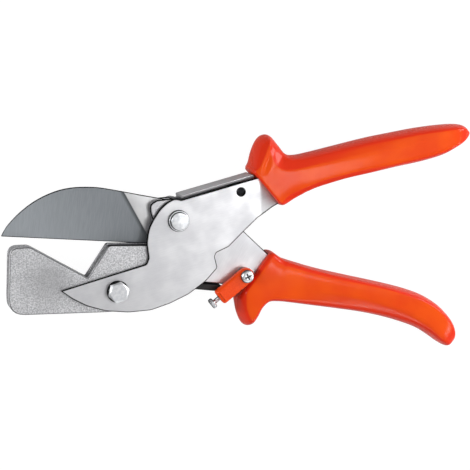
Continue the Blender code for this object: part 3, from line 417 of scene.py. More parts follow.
def gridFaces(grid, wrapRows=False):
    # Quads that join each point of a grid to its neighbours, round every row
    rows, columns = grid.shape[:2]
    row, column = np.meshgrid(np.arange(rows if wrapRows else rows - 1), np.arange(columns), indexing="ij")
    nextRow = (row + 1) % rows
    nextColumn = (column + 1) % columns
    quads = np.stack([row * columns + column, row * columns + nextColumn,
                      nextRow * columns + nextColumn, nextRow * columns + column], axis=-1)
    return quads.reshape(-1, 4).tolist()


def addPiece(name, points, faces, material, body, replaced=(), sharpDegrees=35.0, flatCaps=False):
    # A closed mesh that rides on a body: the points x mm + the pivot, their doubles merged
    mesh = bpy.data.meshes.new(name)
    mesh.from_pydata((np.reshape(points, (-1, 3)) * mm + pivot).tolist(), [], faces)
    bm = bmesh.new()
    bm.from_mesh(mesh)
    bmesh.ops.remove_doubles(bm, verts=bm.verts, dist=meshDetail["mergeMm"] * mm)
    bmesh.ops.recalc_face_normals(bm, faces=bm.faces)
    bm.to_mesh(mesh)
    bm.free()
    mesh.shade_smooth()
    mesh.set_sharp_from_angle(angle=math.radians(sharpDegrees))
    mesh.materials.append(material)
    piece = bpy.data.objects.new(name, mesh)
    bpy.context.scene.collection.objects.link(piece)
    if flatCaps:
        piece.modifiers.new("weighted normals", "WEIGHTED_NORMAL").keep_sharp = True
    if body:
        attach(piece, body)
    if replaced:
        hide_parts(*replaced)
    return piece


def cutAway(piece, points, faces):
    # Cuts a closed shape out of a piece and keeps the result as its mesh
    cutter = addPiece("cutter", points, faces, piece.data.materials[0], None)
    modifier = piece.modifiers.new("cut", "BOOLEAN")
    modifier.operation = "DIFFERENCE"
    modifier.solver = "EXACT"
    modifier.object = cutter
    bpy.context.view_layer.update()
    cut = bpy.data.meshes.new_from_object(piece.evaluated_get(bpy.context.evaluated_depsgraph_get()))
    piece.modifiers.remove(modifier)
    piece.data = cut
    bpy.data.objects.remove(cutter, do_unlink=True)


def turnedGrid(profile, steps=meshDetail["around"]):
    # A profile carried once round +Z: radius cos(angle), radius sin(angle), height
    profile = np.asarray(profile, float)
    angle = np.linspace(0, math.tau, steps, endpoint=False)
    return np.stack([profile[:, :1] * np.cos(angle), profile[:, :1] * np.sin(angle),
                     np.repeat(profile[:, 1:2], steps, axis=1)], axis=-1)


def softened(corners, reach, steps=meshDetail["cornerSteps"]):
    # Each corner becomes the curve start (1 - t)^2 + 2 corner t (1 - t) + end t^2, whose start
    # and end lie its reach away along its two sides; a reach of 0 leaves it sharp
    corners = np.asarray(corners, float)
    ends = []
    for shift in (1, -1):
        side = np.roll(corners, shift, axis=0) - corners
        ends.append(corners + side * (reach / np.linalg.norm(side, axis=1))[:, None])
    start, end = ends
    t = np.linspace(0, 1, steps)[:, None]
    curve = start[:, None] * (1 - t) ** 2 + 2 * corners[:, None] * t * (1 - t) + end[:, None] * t ** 2
    curve = curve.reshape(-1, 2)
    return curve[np.linalg.norm(curve - np.roll(curve, 1, axis=0), axis=1) > meshDetail["leastStepMm"]]


def inset(outline, distance):
    # A counter-clockwise outline moved inwards along its corners' bisectors, by the distance /
    # cos(half the corner's turn)
    arriving = outline - np.roll(outline, 1, axis=0)
    leaving = np.roll(arriving, -1, axis=0)
    arriving = arriving / np.linalg.norm(arriving, axis=1, keepdims=True)
    leaving = leaving / np.linalg.norm(leaving, axis=1, keepdims=True)
    inwardA = np.stack([-arriving[:, 1], arriving[:, 0]], axis=1)
    inwardB = np.stack([-leaving[:, 1], leaving[:, 0]], axis=1)
    middle = inwardA + inwardB
    middle = middle / np.linalg.norm(middle, axis=1, keepdims=True)
    cosine = np.maximum((middle * inwardB).sum(axis=1, keepdims=True), meshDetail["leastCosine"])
    return outline + middle * (distance / cosine)


def slabGrid(outline, low, high, edge, steps=meshDetail["cornerSteps"], support=0.0):
    # An outline carried up a wall whose two rims are quarter circles of the edge radius. A
    # support ring inside each rim keeps the flat face's shading flat.
    angle = np.linspace(0, math.pi / 2, steps)
    shrink = edge * (1 - np.sin(angle))
    lift = edge * (1 - np.cos(angle))
    rows = [*zip(shrink, low + lift), *zip(shrink[::-1], high - lift[::-1])]
    if support:
        rows = [(edge + support, low), *rows, (edge + support, high)]
    return np.stack([np.column_stack([inset(outline, s), np.full(len(outline), z)]) for s, z in rows])


def slabFaces(grid):
    # The quads of a slab's wall, then its low and its high cap
    rows, columns = grid.shape[:2]
    lowCap = list(range(columns))[::-1]
    highCap = list(range((rows - 1) * columns, rows * columns))
    return gridFaces(grid) + [lowCap, highCap]


def splineRows(rows, count):
    # A Catmull-Rom curve through the rows, all columns at once: between b and c it is b +
    # (c - a) t / 2 + (2a - 5b + 4c - d) t^2 / 2 + (3b - a - 3c + d) t^3 / 2
    rows = np.asarray(rows, float)
    padded = np.concatenate([2 * rows[:1] - rows[1:2], rows, 2 * rows[-1:] - rows[-2:-1]])
    at = np.linspace(0, len(rows) - 1 - tiny, count)
    first = at.astype(int)
    t = (at - first)[:, None]
    a, b, c, d = (padded[first + shift] for shift in range(4))
    bend = (2 * a - 5 * b + 4 * c - d) * t ** 2 / 2
    twist = (3 * b - a - 3 * c + d) * t ** 3 / 2
    return b + (c - a) * t / 2 + bend + twist


# Grips: cross lines from the outer to the inner edge, as shares of the grip's length and
# width, with the share of the full thickness, how much thicker the outer side is, and the mm
# over which the skin rounds down to its outer and inner edge. A ridge is a line of x, y (mm
# from the pivot), the slope of the face on its left and how softly it starts.

gripSize = {"length": 117.0, "width": 20.0, "thick": 22.0}

upperGrip = {
    "mouth": (45.5, 17.5), "angle": 14.3, "lip": 1.1,
    "rows": [
        (-0.048, 0.565, 0.055, -0.58, 1, 0, 2, 0.9), (-0.035, 0.66, 0.068, -0.6, 1, 0, 3.5, 0.9),
        (-0.017, 0.9, 0.085, -0.585, 1, -0.03, 5.5, 0.9), (0.004, 1.1, 0.105, -0.55, 1, -0.05, 6.5, 0.9),
        (0.024, 1.23, 0.12, -0.52, 1, -0.07, 6.5, 0.9), (0.047, 1.3, 0.135, -0.495, 1, -0.08, 6, 0.9),
        (0.071, 1.29, 0.15, -0.47, 1, -0.08, 5.5, 0.9), (0.09, 1.19, 0.165, -0.45, 1, -0.07, 5, 0.9),
        (0.112, 0.94, 0.18, -0.42, 1, -0.04, 4, 0.9), (0.136, 0.68, 0.2, -0.4, 1, 0, 3, 0.9),
        (0.175, 0.59, 0.23, -0.37, 1, 0, 2.6, 0.9), (0.247, 0.57, 0.29, -0.345, 1, 0, 2.6, 0.9),
        (0.356, 0.57, 0.378, -0.33, 1, 0, 2.6, 1.2), (0.515, 0.57, 0.5, -0.35, 1, 0, 2.8, 1.6),
        (0.634, 0.54, 0.62, -0.37, 0.98, 0, 3, 2.6), (0.753, 0.5, 0.74, -0.395, 0.95, 0, 3, 2.8),
        (0.86, 0.43, 0.844, -0.37, 0.9, 0, 3, 3), (0.935, 0.35, 0.915, -0.27, 0.78, 0, 2.6, 2.6),
        (0.978, 0.245, 0.962, -0.175, 0.56, 0, 2, 2), (0.999, 0.07, 0.994, -0.05, 0.24, 0, 1, 1),
        (1.001, 0.01, 1.001, 0.01, 0.01, 0, 0.3, 0.3),
    ],
    "ridges": [
        [(47.2, 44.1, 1, 0.3), (47.1, 37.8, 1, 0.3), (48.7, 32.4, 0.95, 0.3), (51.5, 28.8, 0.9, 0.3),
         (55.8, 27.1, 0.75, 0.4), (63.3, 27.6, 0.6, 0.5), (79.4, 31.1, 0.5, 0.8), (95.6, 34.6, 0.42, 1.2),
         (117.4, 39.5, 0.32, 1.5), (139.3, 45, 0.2, 2)],
        [(112, 30.8, 0.2, 1), (98, 27.6, 0.35, 0.5), (85.4, 24.2, 0.5, 0.3), (74.6, 21.1, 0.55, 0.25),
         (64, 16.4, 0.6, 0.2), (57.6, 13.2, 0.6, 0.2), (54.2, 8.6, 0.6, 0.2)],
    ],
    "flutes": {"start": (46.3, 40.0), "end": (42.3, 26.5), "spacing": 4.6, "spread": 4.0, "depth": 0.25,
               "fade": 4.0, "faceFrom": 6.0},
}

lowerGrip = {
    "mouth": (41.5, -28.5), "angle": -18.0, "lip": 2.0,
    "rows": [
        (0.037, 0.73, -0.04, -0.74, 0.97, 0, 0.9, 1.5), (0.055, 0.715, -0.029, -0.86, 0.985, 0.03, 0.9, 3),
        (0.07, 0.69, -0.012, -1.04, 0.995, 0.05, 0.9, 4), (0.082, 0.67, 0.009, -1.2, 1, 0.08, 0.9, 4.5),
        (0.09, 0.655, 0.03, -1.31, 1, 0.1, 0.9, 4.5), (0.097, 0.645, 0.051, -1.35, 1, 0.11, 0.9, 4.2),
        (0.105, 0.635, 0.069, -1.309, 1, 0.1, 0.9, 3.8), (0.112, 0.63, 0.081, -1.197, 1, 0.08, 0.9, 3.4),
        (0.12, 0.63, 0.087, -0.994, 1, 0.06, 0.9, 3.2), (0.132, 0.63, 0.092, -0.765, 1, 0.03, 0.9, 3),
        (0.158, 0.63, 0.109, -0.585, 1, 0, 0.9, 2.6), (0.195, 0.637, 0.15, -0.488, 1, 0, 0.9, 2.2),
        (0.245, 0.645, 0.205, -0.418, 1, 0, 0.9, 2), (0.328, 0.68, 0.3, -0.32, 1, 0, 1.1, 2),
        (0.443, 0.75, 0.42, -0.19, 1, 0, 1.4, 2.2), (0.55, 0.82, 0.54, -0.07, 1, 0, 1.8, 2.4),
        (0.64, 0.87, 0.65, 0, 1, 0, 2.2, 2.6), (0.716, 0.895, 0.752, 0.02, 0.98, 0, 2.8, 2.8),
        (0.795, 0.88, 0.824, 0, 0.95, 0, 2.8, 2.8), (0.87, 0.79, 0.88, -0.07, 0.9, 0, 2.8, 2.8),
        (0.93, 0.64, 0.93, -0.155, 0.82, 0, 2.8, 2.6), (0.978, 0.46, 0.968, -0.205, 0.66, 0, 2.4, 2.2),
        (1.008, 0.26, 0.993, -0.205, 0.46, 0, 1.8, 1.6), (1.02, 0.08, 1.008, -0.14, 0.22, 0, 1, 1),
        (1.016, -0.03, 1.016, -0.03, 0.01, 0, 0.3, 0.3),
    ],
    "ridges": [
        [(40.4, -54.2, 0.4, 1.2), (37.9, -50, 0.6, 1), (36.8, -44.6, 0.7, 0.9), (36.6, -38.6, 0.7, 0.8),
         (36.8, -33.4, 0.6, 0.9), (38.6, -28.6, 0.2, 1.2)],
        [(146.3, -63.7, 0.35, 2), (138.1, -56, 0.45, 1.5), (126.7, -49.4, 0.5, 1.5),
         (109.7, -43.4, 0.5, 1.5), (93, -39.5, 0.45, 1.5), (76.5, -36.8, 0.35, 1.5), (57.4, -34.5, 0, 2)],
        [(49.9, -16.1, 0.55, 0.2), (56.6, -19.8, 0.55, 0.2), (64.3, -22.8, 0.55, 0.25),
         (73.6, -25.5, 0.5, 0.3), (81.8, -27.1, 0.45, 0.4), (100, -30.8, 0.35, 0.8), (118, -35.8, 0.2, 1.5)],
    ],
    "flutes": None,
}

gripDetail = {
    "rings": 320, "around": 168, "dense": 20001, "lipSteps": 8, "lipNarrows": 0.6, "ridgeSteps": 90,
    "edgeSkip": 2, "leastReach": 0.2, "mostPressed": 0.72, "ridgeBlend": 1.6, "rimPower": 2.2,
    "sectionPower": 6.0, "faceWeight": 1.6, "sharp": 60.0,
}


def boxySection(angle):
    # The superellipse |side|^p + |up|^p = 1 at each angle
    share = 2 / gripDetail["sectionPower"]
    return [np.sign(wave) * np.abs(wave) ** share for wave in (np.cos(angle), np.sin(angle))]


def evenAngles():
    # Angles that lie evenly along a boxy section, closer on its two faces than on its sides
    dense = np.linspace(0, math.tau, gripDetail["dense"])
    side, up = boxySection(dense)
    step = np.hypot(np.diff(side) * gripDetail["faceWeight"], np.diff(up))
    run = np.concatenate([[0], np.cumsum(step)])
    return np.interp(np.linspace(0, run[-1], gripDetail["around"], endpoint=False), run, dense)


def edgeLine(grip, alongShare, asideShare):
    # Mouth + share x length along the grip's turn + share x width square to it
    turn = math.radians(grip["angle"])
    forward = np.array((math.cos(turn), math.sin(turn))) * gripSize["length"]
    aside = np.array((-math.sin(turn), math.cos(turn))) * gripSize["width"]
    return np.array(grip["mouth"]) + alongShare[:, None] * forward + asideShare[:, None] * aside


def gripSurface(grip):
    # Rings of a boxy section between the two edges; the mouth's lip is a quarter circle, and
    # the skin then rounds down to the outer and the inner edge
    detail = gripDetail
    rows = splineRows(grip["rows"], detail["rings"])
    outer = edgeLine(grip, rows[:, 0], rows[:, 1])
    inner = edgeLine(grip, rows[:, 2], rows[:, 3])
    turn = np.linspace(math.pi / 2, 0, detail["lipSteps"])
    across = (outer[0] - inner[0]) / np.linalg.norm(outer[0] - inner[0])
    inwards = np.array((across[1], -across[0]))
    travelled = ((outer + inner) / 2 - (outer[0] + inner[0]) / 2) @ inwards
    pulledIn = np.interp(travelled, grip["lip"] * (1 - np.sin(turn)), grip["lip"] * (1 - np.cos(turn)))
    line = (outer - inner) / np.maximum(np.linalg.norm(outer - inner, axis=1, keepdims=True), tiny)
    narrowing = line * pulledIn[:, None] * detail["lipNarrows"]
    outer = outer - narrowing
    inner = inner + narrowing
    halfThick = rows[:, 4] * gripSize["thick"] / 2 - pulledIn
    side, up = boxySection(evenAngles())
    flat = (outer + inner)[:, None] / 2 + (outer - inner)[:, None] / 2 * side[:, None]
    thicker = rows[:, 5:6]
    sunk = np.clip(-np.sign(thicker) * side, 0, 1) ** 2 * np.abs(thicker)
    height = halfThick[:, None] * up * (1 - sunk)
    surface = np.concatenate([flat, height[:, :, None]], axis=2)
    for edge, reach in ((outer, rows[:, 6:7]), (inner, rows[:, 7:8])):
        edgeRows = np.concatenate([edge, np.maximum(reach, detail["leastReach"])], axis=1)
        surface = roundedTo(surface, edgeRows[::detail["edgeSkip"]])
    return surface


def lineOffsets(surface, line):
    # The line's direction at each of its points, and the way from each to every skin point
    along = np.gradient(line[:, :2], axis=0)
    along = along / np.linalg.norm(along, axis=1, keepdims=True)
    return along, surface[:, :, None, :2] - line[:, :2]


def roundedTo(surface, edge):
    # The skin rounds down to its edge: height x (1 - (1 - distance / reach)^p)^(1/p). The
    # distance is square to the edge at its nearest point, or straight from its ends
    along, offset = lineOffsets(surface, edge)
    nearest = np.argmin((offset ** 2).sum(axis=-1), axis=-1)
    offset = np.take_along_axis(offset, nearest[:, :, None, None], axis=2)[:, :, 0]
    direction = along[nearest]
    beside = direction[:, :, 0] * offset[:, :, 1] - direction[:, :, 1] * offset[:, :, 0]
    atEnds = (nearest == 0) | (nearest == len(edge) - 1)
    distance = np.hypot(beside, (direction * offset).sum(axis=-1) * atEnds)
    inside = np.clip(distance / edge[nearest][:, :, 2], 0, 1)
    power = gripDetail["rimPower"]
    rounded = surface.copy()
    rounded[:, :, 2] *= (1 - (1 - inside) ** power) ** (1 / power)
    return rounded


def pressBeyond(surface, ridge):
    # On a ridge's left the face sinks by slope x distance, levelling off near the deepest press:
    # height x (1 - most (1 - e^(-slope distance / (most half thickness)))). The distance d is
    # averaged over the ridge with weights e^(-(squared distance - least) / blend^2), so that
    # no crease forms inside a bend, and starts softly, as (d + (d^2 + soft^2)^(1/2)) / 2
    line = splineRows(ridge, gripDetail["ridgeSteps"])
    along, offset = lineOffsets(surface, line)
    apart = (offset ** 2).sum(axis=-1)
    weight = np.exp(-(apart - apart.min(axis=-1, keepdims=True)) / gripDetail["ridgeBlend"] ** 2)
    weight = weight / weight.sum(axis=-1, keepdims=True)
    beside = along[:, 0] * offset[:, :, :, 1] - along[:, 1] * offset[:, :, :, 0]
    beside = (beside * weight).sum(axis=-1)
    slope, soft = np.moveaxis(weight @ line[:, 2:], -1, 0)
    beyond = (beside + np.sqrt(beside ** 2 + soft ** 2)) / 2
    most = gripDetail["mostPressed"]
    pressed = surface.copy()
    pressed[:, :, 2] *= 1 - most * (1 - np.exp(-slope * beyond / (most * gripSize["thick"] / 2)))
    return pressed


def fluted(surface, flutes):
    # Shallow flutes sunk beside a line: depth (cos(tau d / spacing) - 1) e^-(d / spread)^2
    start, end = np.array(flutes["start"]), np.array(flutes["end"])
    reach = np.linalg.norm(end - start)
    along = (end - start) / reach
    offset = surface[:, :, :2] - start
    run = offset @ along
    beside = offset @ np.array((-along[1], along[0]))
    fade = flutes["fade"]
    within = np.clip(run / fade + 0.5, 0, 1) * np.clip((reach - run) / fade + 0.5, 0, 1)
    ripple = (np.cos(math.tau * beside / flutes["spacing"]) - 1) * np.exp(-(beside / flutes["spread"]) ** 2)
    onFace = np.clip(surface[:, :, 2] / flutes["faceFrom"], -1, 1)
    carved = surface.copy()
    carved[:, :, 2] += onFace * ripple * within * flutes["depth"]
    return carved


def makeGrip(name, grip, body, replaced):
    # The surface, pressed beside each ridge; its far end closes to a point and needs no cap
    surface = gripSurface(grip)
    for ridge in grip["ridges"]:
        surface = pressBeyond(surface, ridge)
    if grip["flutes"]:
        surface = fluted(surface, grip["flutes"])
    addPiece(name, surface, slabFaces(surface)[:-1], vinyl, body, [replaced],
             gripDetail["sharp"])


makeGrip("upperGripSkin", upperGrip, fixedBody, "upper_grip")
makeGrip("lowerGripSkin", lowerGrip, movingBody, "lower_grip")
print("grips made")


# Fasteners, turned about +Z: heights are mm above the middle plane, and a lead is how much
# narrower the chamfered end is and how high its thread starts

anvilBoltAt = (-31.1, -36.7)             # mm from the pivot
boltBack = {"end": -11.0, "nutTop": -8.3, "threadTop": -8.4, "runOut": 0.3, "pitch": 1.0}

pivotScrew = {**boltBack, "shank": 3.95, "threadDeep": 0.45, "lead": (0.6, 0.4), "seat": 8.3, "high": 2.8,
              "footRadius": 5.75, "footHigh": 1.4, "ledgeRadius": 5.3, "waistRadius": 4.85, "topRadius": 4.45,
              "rounds": [0, 0.1, 0.1, 0.05, 0.2, 0]}
hexBolt = {**boltBack, "shank": 2.95, "threadDeep": 0.4, "lead": (0.5, 0.3), "seat": 8.3, "high": 4.0,
           "flats": 10.0, "turn": 20.0, "washer": 5.75, "washerHigh": 0.5, "washerGap": 0.1,
           "rounds": [0, 0.05, 0.12, 0]}
nuts = {                                 # piece: place, width across flats, bore, node
    "anvilHexNut": (anvilBoltAt, 10.0, 3.0, "anvil_nut"),
    "pivotHexNut": ((0.0, 0.0), 13.0, 4.0, "pivot_nut"),
}
hexDetail = {"around": 96, "crownShare": 0.86, "cone": 30.0, "countersink": 0.5, "sharp": 25.0}


def placed(grid, at):
    # A shape moved by x, y in mm from the pivot
    return grid + np.array((*at, 0.0))


def threadProfile(radius, low, high, pitch, depth):
    # A zigzag of crests and roots between two heights, one crest a pitch
    count = max(int((high - low) / pitch), 1)
    heights = np.linspace(low, high, 2 * count + 1)
    radii = np.where(np.arange(2 * count + 1) % 2 == 0, radius - depth, radius)
    return list(zip(radii, heights))


def boltEnd(spec):
    # A profile from the axis over the chamfered end, up the thread and on to the plain shank
    narrower, start = spec["lead"]
    thread = threadProfile(spec["shank"], spec["end"] + start, spec["threadTop"], spec["pitch"],
                           spec["threadDeep"])
    return [(0, spec["end"]), (spec["shank"] - narrower, spec["end"]), *thread,
            (spec["shank"], spec["threadTop"] + spec["runOut"])]


def makePivotScrew(spec):
    # A cheese head on a collar: its side tapers up to a rounded rim
    seat, collar, top = spec["seat"] + np.array((0, spec["footHigh"], spec["high"]))
    corners = [(0, seat), (spec["footRadius"], seat), (spec["ledgeRadius"], collar),
               (spec["waistRadius"], collar), (spec["topRadius"], top), (0, top)]
    head = softened(corners, spec["rounds"])
    grid = turnedGrid([*boltEnd(spec), (spec["shank"], seat), *head[1:]])
    addPiece("pivotScrew", grid, gridFaces(grid), zinc, fixedBody, ["pivot_bolt"])


def hexGrid(flats, low, high, turn, bothEnds):
    # A hexagonal prism, flats / 2 / cos(angle from a flat's middle), met by 30 degree cones,
    # which leave arcs on its six sides
    angle = np.linspace(0, math.tau, hexDetail["around"], endpoint=False)
    sixth = math.tau / 6
    toFlat = (angle - math.radians(turn)) % sixth - sixth / 2
    wall = flats / 2 / np.cos(toFlat)
    crown = np.full(len(angle), flats / 2 * hexDetail["crownShare"])
    drop = (wall - crown) * math.tan(math.radians(hexDetail["cone"]))
    level = np.zeros(len(angle))
    rows = [(crown, low + level), (wall, low + drop)] if bothEnds else [(wall, low + level)]
    rows += [(wall, high - drop), (crown, high + level)]
    return np.stack([np.stack([radius * np.cos(angle), radius * np.sin(angle), height], axis=-1)
                     for radius, height in rows])


def makeHexBolt(spec):
    # The head stands on a thin washer; the shank is a piece of its own
    seat, washerTop, top = spec["seat"] + np.array((0, spec["washerHigh"], spec["high"]))
    head = placed(hexGrid(spec["flats"], washerTop, top, spec["turn"], False), anvilBoltAt)
    addPiece("hexHead", head, slabFaces(head), zinc, fixedBody, [], hexDetail["sharp"])
    shank = placed(turnedGrid([*boltEnd(spec), (spec["shank"], washerTop), (0, washerTop)]), anvilBoltAt)
    addPiece("hexBoltShank", shank, gridFaces(shank), zinc, fixedBody,
             ["anvil_bolt"])
    bore = spec["shank"] + spec["washerGap"]
    corners = [(bore, seat), (spec["washer"], seat), (spec["washer"], washerTop), (bore, washerTop)]
    ring = placed(turnedGrid(softened(corners, spec["rounds"])), anvilBoltAt)
    # The washer is painted black, its colour standing in for the shade round the foot of the head
    addPiece("hexWasher", ring, gridFaces(ring, wrapRows=True), shadedWasher, fixedBody)


def makeNut(name, at, flats, bore, replaced):
    # A hex nut with both faces chamfered, its thread's mouth countersunk
    low, high = boltBack["end"], boltBack["nutTop"]
    sink = hexDetail["countersink"]
    wall = turnedGrid([(bore, high), (bore, low + sink), (bore + sink, low)], hexDetail["around"])
    grid = placed(np.concatenate([hexGrid(flats, low, high, 0.0, True), wall]), at)
    addPiece(name, grid, gridFaces(grid, wrapRows=True), zinc, fixedBody,
             [replaced], hexDetail["sharp"])


makePivotScrew(pivotScrew)
makeHexBolt(hexBolt)
for name, spec in nuts.items():
    makeNut(name, *spec)
print("bolts made")


# Safety catch: a moulded block on a pan head screw, with a knurled screw in its end. Lengths
# along the catch run from its own screw.

catchAt = (catchPivot - pivot)[:2] / mm
catchSpec = {"angle": 220.0, "reach": 18.2, "width": 8.2, "low": 8.4, "high": 14.0, "corner": 1.5,
             "endSteps": 25, "bore": 2.0, "boreHigh": 30.0, "thread": 1.55, "threadFrom": 4.6,
             "holeSteps": 32, "sharp": 40.0}
panHead = {"radius": 3.5, "high": 2.1, "seat": 14.3, "shank": 1.7, "foot": -3.2, "undercut": 0.15, "rim": 0.5,
           "crownPower": 0.55, "crownSteps": 9, "armShare": 0.52, "slotShare": 0.11, "turn": 25.0,
           "deepShare": 0.5, "sharp": 40.0}
thumb = {"shank": 1.25, "head": 2.8, "thick": 2.2, "neck": 3.3, "tip": 8.4, "pitch": 0.7, "threadDeep": 0.22,
         "lead": 0.3, "plain": 0.4, "chamfer": (0.5, 0.4), "dishShares": (0.45, 0.35), "dishDeep": 0.35,
         "knurls": 22, "knurlSteps": 6, "knurlDeep": 0.16, "sharp": 30.0}
catchMiddle = (catchSpec["low"] + catchSpec["high"]) / 2


def turnedPlan(points, degrees):
    # x cos(a) - y sin(a), x sin(a) + y cos(a)
    turn = math.radians(degrees)
    rotation = np.array(((math.cos(turn), math.sin(turn)), (-math.sin(turn), math.cos(turn))))
    turned = np.array(points, float)
    turned[..., :2] = turned[..., :2] @ rotation
    return turned


def alongCatch(points):
    # From the catch's own axes, x along it, to the tool's: turned by its angle and moved
    return placed(turnedPlan(points, catchSpec["angle"]), catchAt)


def laidAlongCatch(grid):
    # A shape turned about +Z is laid down inside the catch: x, y, z = height, y, middle - x
    return alongCatch(grid[:, :, ::-1] * (1, 1, -1) + (0, 0, catchMiddle))


def makeCatchBlock(spec):
    # A half circle round its screw and a square end; one hole for the screw goes through, and
    # a blind one for the knurled screw comes in from the end
    half, corner, far = spec["width"] / 2, spec["corner"], spec["reach"]
    arc = np.linspace(math.pi / 2, 3 * math.pi / 2, spec["endSteps"])
    end = np.stack([half * np.cos(arc), half * np.sin(arc)], axis=1)
    square = softened([(0, -half), (far, -half), (far, half), (0, half)], [0, corner, corner, 0])
    grid = alongCatch(slabGrid(np.concatenate([end, square[1:-1]]), spec["low"], spec["high"], corner))
    block = addPiece("catchBlock", grid, slabFaces(grid), nylon, catchBody, ["catch_lever"],
                     spec["sharp"], flatCaps=True)
    hole = [(0, 0), (spec["bore"], 0), (spec["bore"], spec["boreHigh"]), (0, spec["boreHigh"])]
    hole = alongCatch(turnedGrid(hole, spec["holeSteps"]))
    cutAway(block, hole, gridFaces(hole))
    start, mouth = spec["threadFrom"], far + meshDetail["overrunMm"]
    thread = [(0, start), (spec["thread"], start), (spec["thread"], mouth), (0, mouth)]
    thread = laidAlongCatch(turnedGrid(thread, spec["holeSteps"]))
    cutAway(block, thread, gridFaces(thread))


def makePanScrew(spec):
    # The crown is radius cos(a)^power wide at height sin(a); the cross is cut into it
    rimTop, top = spec["seat"] + spec["rim"], spec["seat"] + spec["high"]
    crown = [(spec["radius"] * math.cos(a) ** spec["crownPower"], rimTop + (top - rimTop) * math.sin(a))
             for a in np.linspace(0, math.pi / 2, spec["crownSteps"])]
    profile = [(0, spec["foot"]), (spec["shank"], spec["foot"]), (spec["shank"], spec["seat"]),
               (spec["radius"] - spec["undercut"], spec["seat"]), *crown]
    grid = placed(turnedGrid(profile), catchAt)
    screw = addPiece("panHeadScrew", grid, gridFaces(grid), crossZinc, movingBody,
                     ["catch_screw"], spec["sharp"])
    arm = spec["radius"] * spec["armShare"]
    slot = spec["radius"] * spec["slotShare"]
    arms = [turnedPlan([(slot, -slot), (arm, -slot), (arm, slot)], quarter) for quarter in (0, 90, 180, 270)]
    cross = turnedPlan(np.concatenate(arms), spec["turn"])
    floor = top - spec["high"] * spec["deepShare"]
    recess = placed(slabGrid(cross, floor, top + meshDetail["overrunMm"], 0.0, 2), catchAt)
    cutAway(screw, recess, slabFaces(recess))


def makeThumbScrew(spec):
    # A threaded neck and a dished head; the head's rim is knurled, its radius less by
    # depth (1 + cos(knurls x angle)) / 2
    near = catchSpec["reach"] + spec["neck"]
    far = near + spec["thick"]
    head = spec["head"]
    inwards, back = spec["chamfer"]
    rim, floor = (head * share for share in spec["dishShares"])
    floorAt = far - spec["dishDeep"]
    thread = threadProfile(spec["shank"], spec["tip"] + spec["lead"], near - spec["plain"], spec["pitch"],
                           spec["threadDeep"])
    profile = [(0, spec["tip"]), *thread, (spec["shank"], near), (head - inwards, near), (head, near + back),
               (head, far - back), (head - inwards, far), (rim, far), (floor, floorAt), (0, floorAt)]
    steps = spec["knurls"] * spec["knurlSteps"]
    grid = turnedGrid(profile, steps)
    angle = np.linspace(0, math.tau, steps, endpoint=False)
    wave = 1 - spec["knurlDeep"] / head * (1 + np.cos(spec["knurls"] * angle)) / 2
    onRim = np.isclose(np.array(profile)[:, :1], head)
    grid[:, :, :2] *= np.where(onRim, wave, 1)[:, :, None]
    addPiece("knurledScrew", laidAlongCatch(grid), gridFaces(grid), zinc, thumbBody,
             ["thumb_screw"], spec["sharp"])


makeCatchBlock(catchSpec)
makePanScrew(panHead)
makeThumbScrew(thumb)
print("catch made")


# Opening spring: the wire's path is two legs and a coil, carried by a round section

springAt = (32.7, 15.2)                  # mm from the pivot
springSpec = {"wire": 1.2, "radius": 4.0, "pitch": 1.8, "turns": 2, "webAngle": 16.4, "spread": 30.0,
              "fixedLeg": 14.0, "freeLeg": 14.2, "coilSteps": 160, "legSteps": 12, "around": 14,
              "sharp": 60.0}


def makeSpring(spec):
    # radius cos(turn), radius sin(turn), rising one pitch a turn; a leg leaves each end along
    # its tangent, and a circle is carried along square to the path
    start = math.radians(90 + spec["webAngle"])
    sweep = start + math.radians(spec["spread"]) + math.tau * spec["turns"]
    share = np.linspace(0, 1, spec["coilSteps"])
    turn = start - sweep * share
    height = spec["pitch"] * sweep / math.tau * (share - 0.5)
    coil = np.stack([spec["radius"] * np.cos(turn), spec["radius"] * np.sin(turn), height], axis=1)
    coil = placed(coil, springAt)
    leg = np.array((math.sin(start), -math.cos(start), 0))
    last = np.array((math.sin(start - sweep), -math.cos(start - sweep), 0))
    step = np.linspace(1, 0, spec["legSteps"], endpoint=False)[:, None]
    path = np.concatenate([coil[0] - leg * spec["fixedLeg"] * step, coil,
                           coil[-1] + last * spec["freeLeg"] * step[::-1]])
    along = np.gradient(path, axis=0)
    along = along / np.linalg.norm(along, axis=1, keepdims=True)
    aside = np.cross(along, (0, 0, 1.0))
    aside = aside / np.linalg.norm(aside, axis=1, keepdims=True)
    upward = np.cross(aside, along)
    angle = np.linspace(0, math.tau, spec["around"], endpoint=False)[:, None]
    ring = aside[:, None] * np.cos(angle) + upward[:, None] * np.sin(angle)
    surface = path[:, None] + ring * spec["wire"] / 2
    addPiece("coilSpring", surface, slabFaces(surface), springWire, fixedBody,
             ["opening_spring"], spec["sharp"])


makeSpring(springSpec)


# Stop buffer: a moulded rubber block in the place of its node, well rounded

bufferSpec = {"gap": 0.1, "high": 3.6, "corner": 1.3, "rim": 0.9, "sharp": 40.0,
              "slope": -0.094}           # as the fork's lower edge falls


def makeBuffer(spec):
    # Its top falls by slope x length, and its bottom lies the height below it
    low, high = [(np.array(corner) - pivot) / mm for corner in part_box("stop_buffer")]
    x0, x1 = low[0] + spec["gap"], high[0] - spec["gap"]
    top0 = high[1] - spec["gap"]
    top1 = top0 + spec["slope"] * (x1 - x0)
    corners = [(x0, top0 - spec["high"]), (x1, top1 - spec["high"]), (x1, top1), (x0, top0)]
    grid = slabGrid(softened(corners, spec["corner"]), low[2], high[2], spec["rim"])
    addPiece("rubberStop", grid, slabFaces(grid), rubber, fixedBody, ["stop_buffer"],
             spec["sharp"], flatCaps=True)


makeBuffer(bufferSpec)
print("spring and buffer made")


